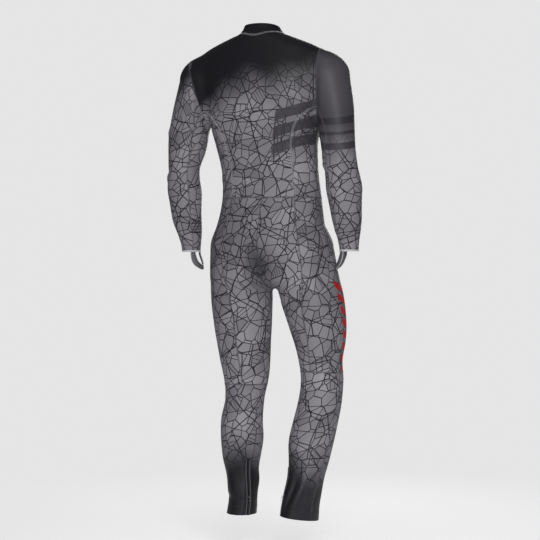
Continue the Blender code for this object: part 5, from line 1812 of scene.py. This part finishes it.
def zip_teeth(name, line, scale, padding, replaced):
    """Two rows of blocks that reach past the middle by turns."""
    places = resample(line, round(steps_along(line).sum() / (TOOTH_PITCH * scale / 2)))
    pads = np.interp(np.linspace(0, 1, len(places)), np.linspace(0, 1, len(padding)), padding)
    raised, normals = on_cloth(onto_form(places, steps=3))
    raised = raised + pads[:, None] * normals
    along = unit(np.gradient(raised, axis=0))
    across = np.cross(along, normals) * by_turns(len(raised))
    low = TAPE_TOP + SEAM_GAP
    points = []
    for level in (low, low + TOOTH_HEIGHT):
        for reach, share in TOOTH:
            step = reach * scale * across + share * TOOTH_PITCH * scale * along
            points.append(raised + step + level * normals)
    points = np.stack(points, axis=1)
    sides = len(TOOTH)
    shape = [tuple(range(sides))[::-1], tuple(range(sides, 2 * sides))]
    shape += [(k, (k + 1) % sides, sides + (k + 1) % sides, sides + k) for k in range(sides)]
    faces = copied_faces(shape, 2 * sides, len(points))
    mesh = bpy.data.meshes.new(name)
    mesh.from_pydata(settle(points).reshape(-1, 3).tolist(), [], faces)
    tidy_mesh(mesh, False)
    piece = add_piece(name, mesh, TEETH, replaces=[replaced])
    print(name, len(points), "teeth")


def zip_tape(name, line, padding, profile, replaced, finish=TAPE):
    raised, normals = on_cloth(line)
    raised = raised + np.reshape(padding, (-1, 1)) * normals
    mesh = strip_mesh(name, raised, normals, profile)
    piece = add_piece(name, mesh, finish, replaces=[replaced])


# %% The front zip
FRONT_TAPE_HALF = 0.012
FRONT_ZIP_FOOT = 0.86
belly = FRONT_CENTRE[FRONT_CENTRE[:, 2] > FRONT_ZIP_FOOT]
FRONT_LINE = np.concatenate([belly[:0:-1], THROAT, COLLAR_FRONT[1:]])
on_collar = (np.arange(len(FRONT_LINE))[::-1] <= COLLAR_ROWS) * (COLLAR_CLOTH - CLOTH + 0.0006)
section = rounded_strip(FRONT_TAPE_HALF, ZIP_CLEAR, TAPE_TOP)
zip_tape("front_zip_cloth", FRONT_LINE, on_collar, section, "front_zip_tape")
zip_teeth("front_zip_rows", FRONT_LINE, 1.0, on_collar, "front_zip_teeth")

# %% [markdown]
# The tape of an ankle zip is folded back along both sides, so that each side has a rolled edge.
# One half of its section is written down, and the other half is its mirror image.

# %% The ankle zips
ridge = TAPE_TOP + 0.0010
half_profile = [(0.0075, ZIP_CLEAR), (0.0079, TAPE_TOP), (0.0074, ridge - 0.0002), (0.0068, ridge)]
half_profile += [(0.0056, ridge), (0.0050, ridge - 0.0002), (0.0040, TAPE_TOP)]
ankle_profile = [(-across, out) for across, out in half_profile] + half_profile[::-1]
for side, line in ANKLES.items():
    name = "ankle_zip_" + side
    zip_tape(name + "_cloth", line, np.zeros(len(line)), ankle_profile, name + "_tape", ANKLE_TAPE)
    zip_teeth(name + "_rows", line, 0.8, np.zeros(len(line)), name + "_teeth")

# %% Sliders and pulls
for name in ("front_zip", "ankle_zip_left", "ankle_zip_right"):
    for part in ("_slider", "_pull"):
        solid = frame["nodes"][name + part]
        solid.data.materials.clear()
        solid.data.materials.append(METAL)
        weld = solid.modifiers.new("weld", "WELD")
        weld.merge_threshold = 0.00001
        soften = solid.modifiers.new("soften", "BEVEL")
        soften.width = 0.00018
        soften.segments = 2
        soften.limit_method = "ANGLE"
    print(name, "has its metal slider and pull")

# %% [markdown]
# ## Floor and light
#
# Studio light for dark sports cloth is broad and soft: large lamps on both sides of the camera, and
# a fainter one above, so that the sheen shows on every limb and the sides turn dark. A lamp in
# front of the suit lights what only the other views see. The floor is pale and melts into the
# background. It gives off a little light of its own, so that it stays even.

# %% Floor and backdrop
FLOOR_DROP = 0.12  # a worn suit's hems end above the ground
BACKDROP = srgb(229, 229, 229)
bpy.context.scene.view_settings.view_transform = "Standard"


def make_floor():
    mesh = bpy.data.meshes.new("floor")
    corners = [(-4, -4), (4, -4), (4, 4), (-4, 4)]
    mesh.from_pydata([(x, y, 0) for x, y in corners], [], [(0, 1, 2, 3)])
    floor = bpy.data.objects.new("floor", mesh)
    floor.location = (-COLLAR_SEAM[0], -COLLAR_SEAM[1], -COLLAR_SEAM[2] - FLOOR_DROP)
    bpy.context.scene.collection.objects.link(floor)
    made, tree, shader = new_material("floor")
    shader.inputs["Base Color"].default_value = srgb(226, 226, 227)
    shader.inputs["Roughness"].default_value = 0.9
    shader.inputs["Emission Color"].default_value = BACKDROP
    shader.inputs["Emission Strength"].default_value = 0.50
    where = tree.nodes.new("ShaderNodeTexCoord")
    distance = vector(tree, "LENGTH", where.outputs["Object"], out="Value")
    clear = tree.nodes.new("ShaderNodeBsdfTransparent")
    blend = tree.nodes.new("ShaderNodeMixShader")
    plug(tree, blend.inputs[0], soft_edge(tree, distance, 0.5, 2.2))
    plug(tree, blend.inputs[1], shader.outputs[0])
    plug(tree, blend.inputs[2], clear.outputs[0])
    plug(tree, tree.nodes["Material Output"].inputs["Surface"], blend.outputs[0])
    mesh.materials.append(made)


def make_world():
    world = bpy.data.worlds.new("studio")
    world.use_nodes = True
    tree = world.node_tree
    shown = tree.nodes["Background"]
    shown.inputs["Color"].default_value = BACKDROP
    shown.inputs["Strength"].default_value = 1.0
    lit = tree.nodes.new("ShaderNodeBackground")
    lit.inputs["Color"].default_value = (1, 1, 1, 1)
    lit.inputs["Strength"].default_value = 0.14
    path = tree.nodes.new("ShaderNodeLightPath")
    blend = tree.nodes.new("ShaderNodeMixShader")
    plug(tree, blend.inputs[0], path.outputs["Is Camera Ray"])
    plug(tree, blend.inputs[1], lit.outputs[0])
    plug(tree, blend.inputs[2], shown.outputs[0])
    plug(tree, tree.nodes["World Output"].inputs["Surface"], blend.outputs[0])
    bpy.context.scene.world = world


make_floor()
make_world()

# %% Lamps
LAMPS = [
    # name, azimuth, elevation, distance, size, power
    ("key", 207, 10, 3.4, 1.6, 74),
    ("fill", 168, 2, 3.6, 2.0, 16),
    ("top", 196, 66, 3.0, 1.4, 8),
    ("front", 10, 16, 3.6, 2.2, 60),
]


def make_lamp(name, azimuth, elevation, distance, size, power):
    lamp = bpy.data.lights.new(name, "AREA")
    lamp.shape = "DISK"
    lamp.size = size
    lamp.energy = power
    holder = bpy.data.objects.new(name, lamp)
    holder.location = around(azimuth, elevation, distance)
    turn, rise = math.radians(azimuth), math.radians(elevation)
    holder.rotation_euler = (math.pi / 2 - rise, 0, turn)
    bpy.context.scene.collection.objects.link(holder)


for lamp in LAMPS:
    make_lamp(*lamp)
print("lamps:", [lamp[0] for lamp in LAMPS])
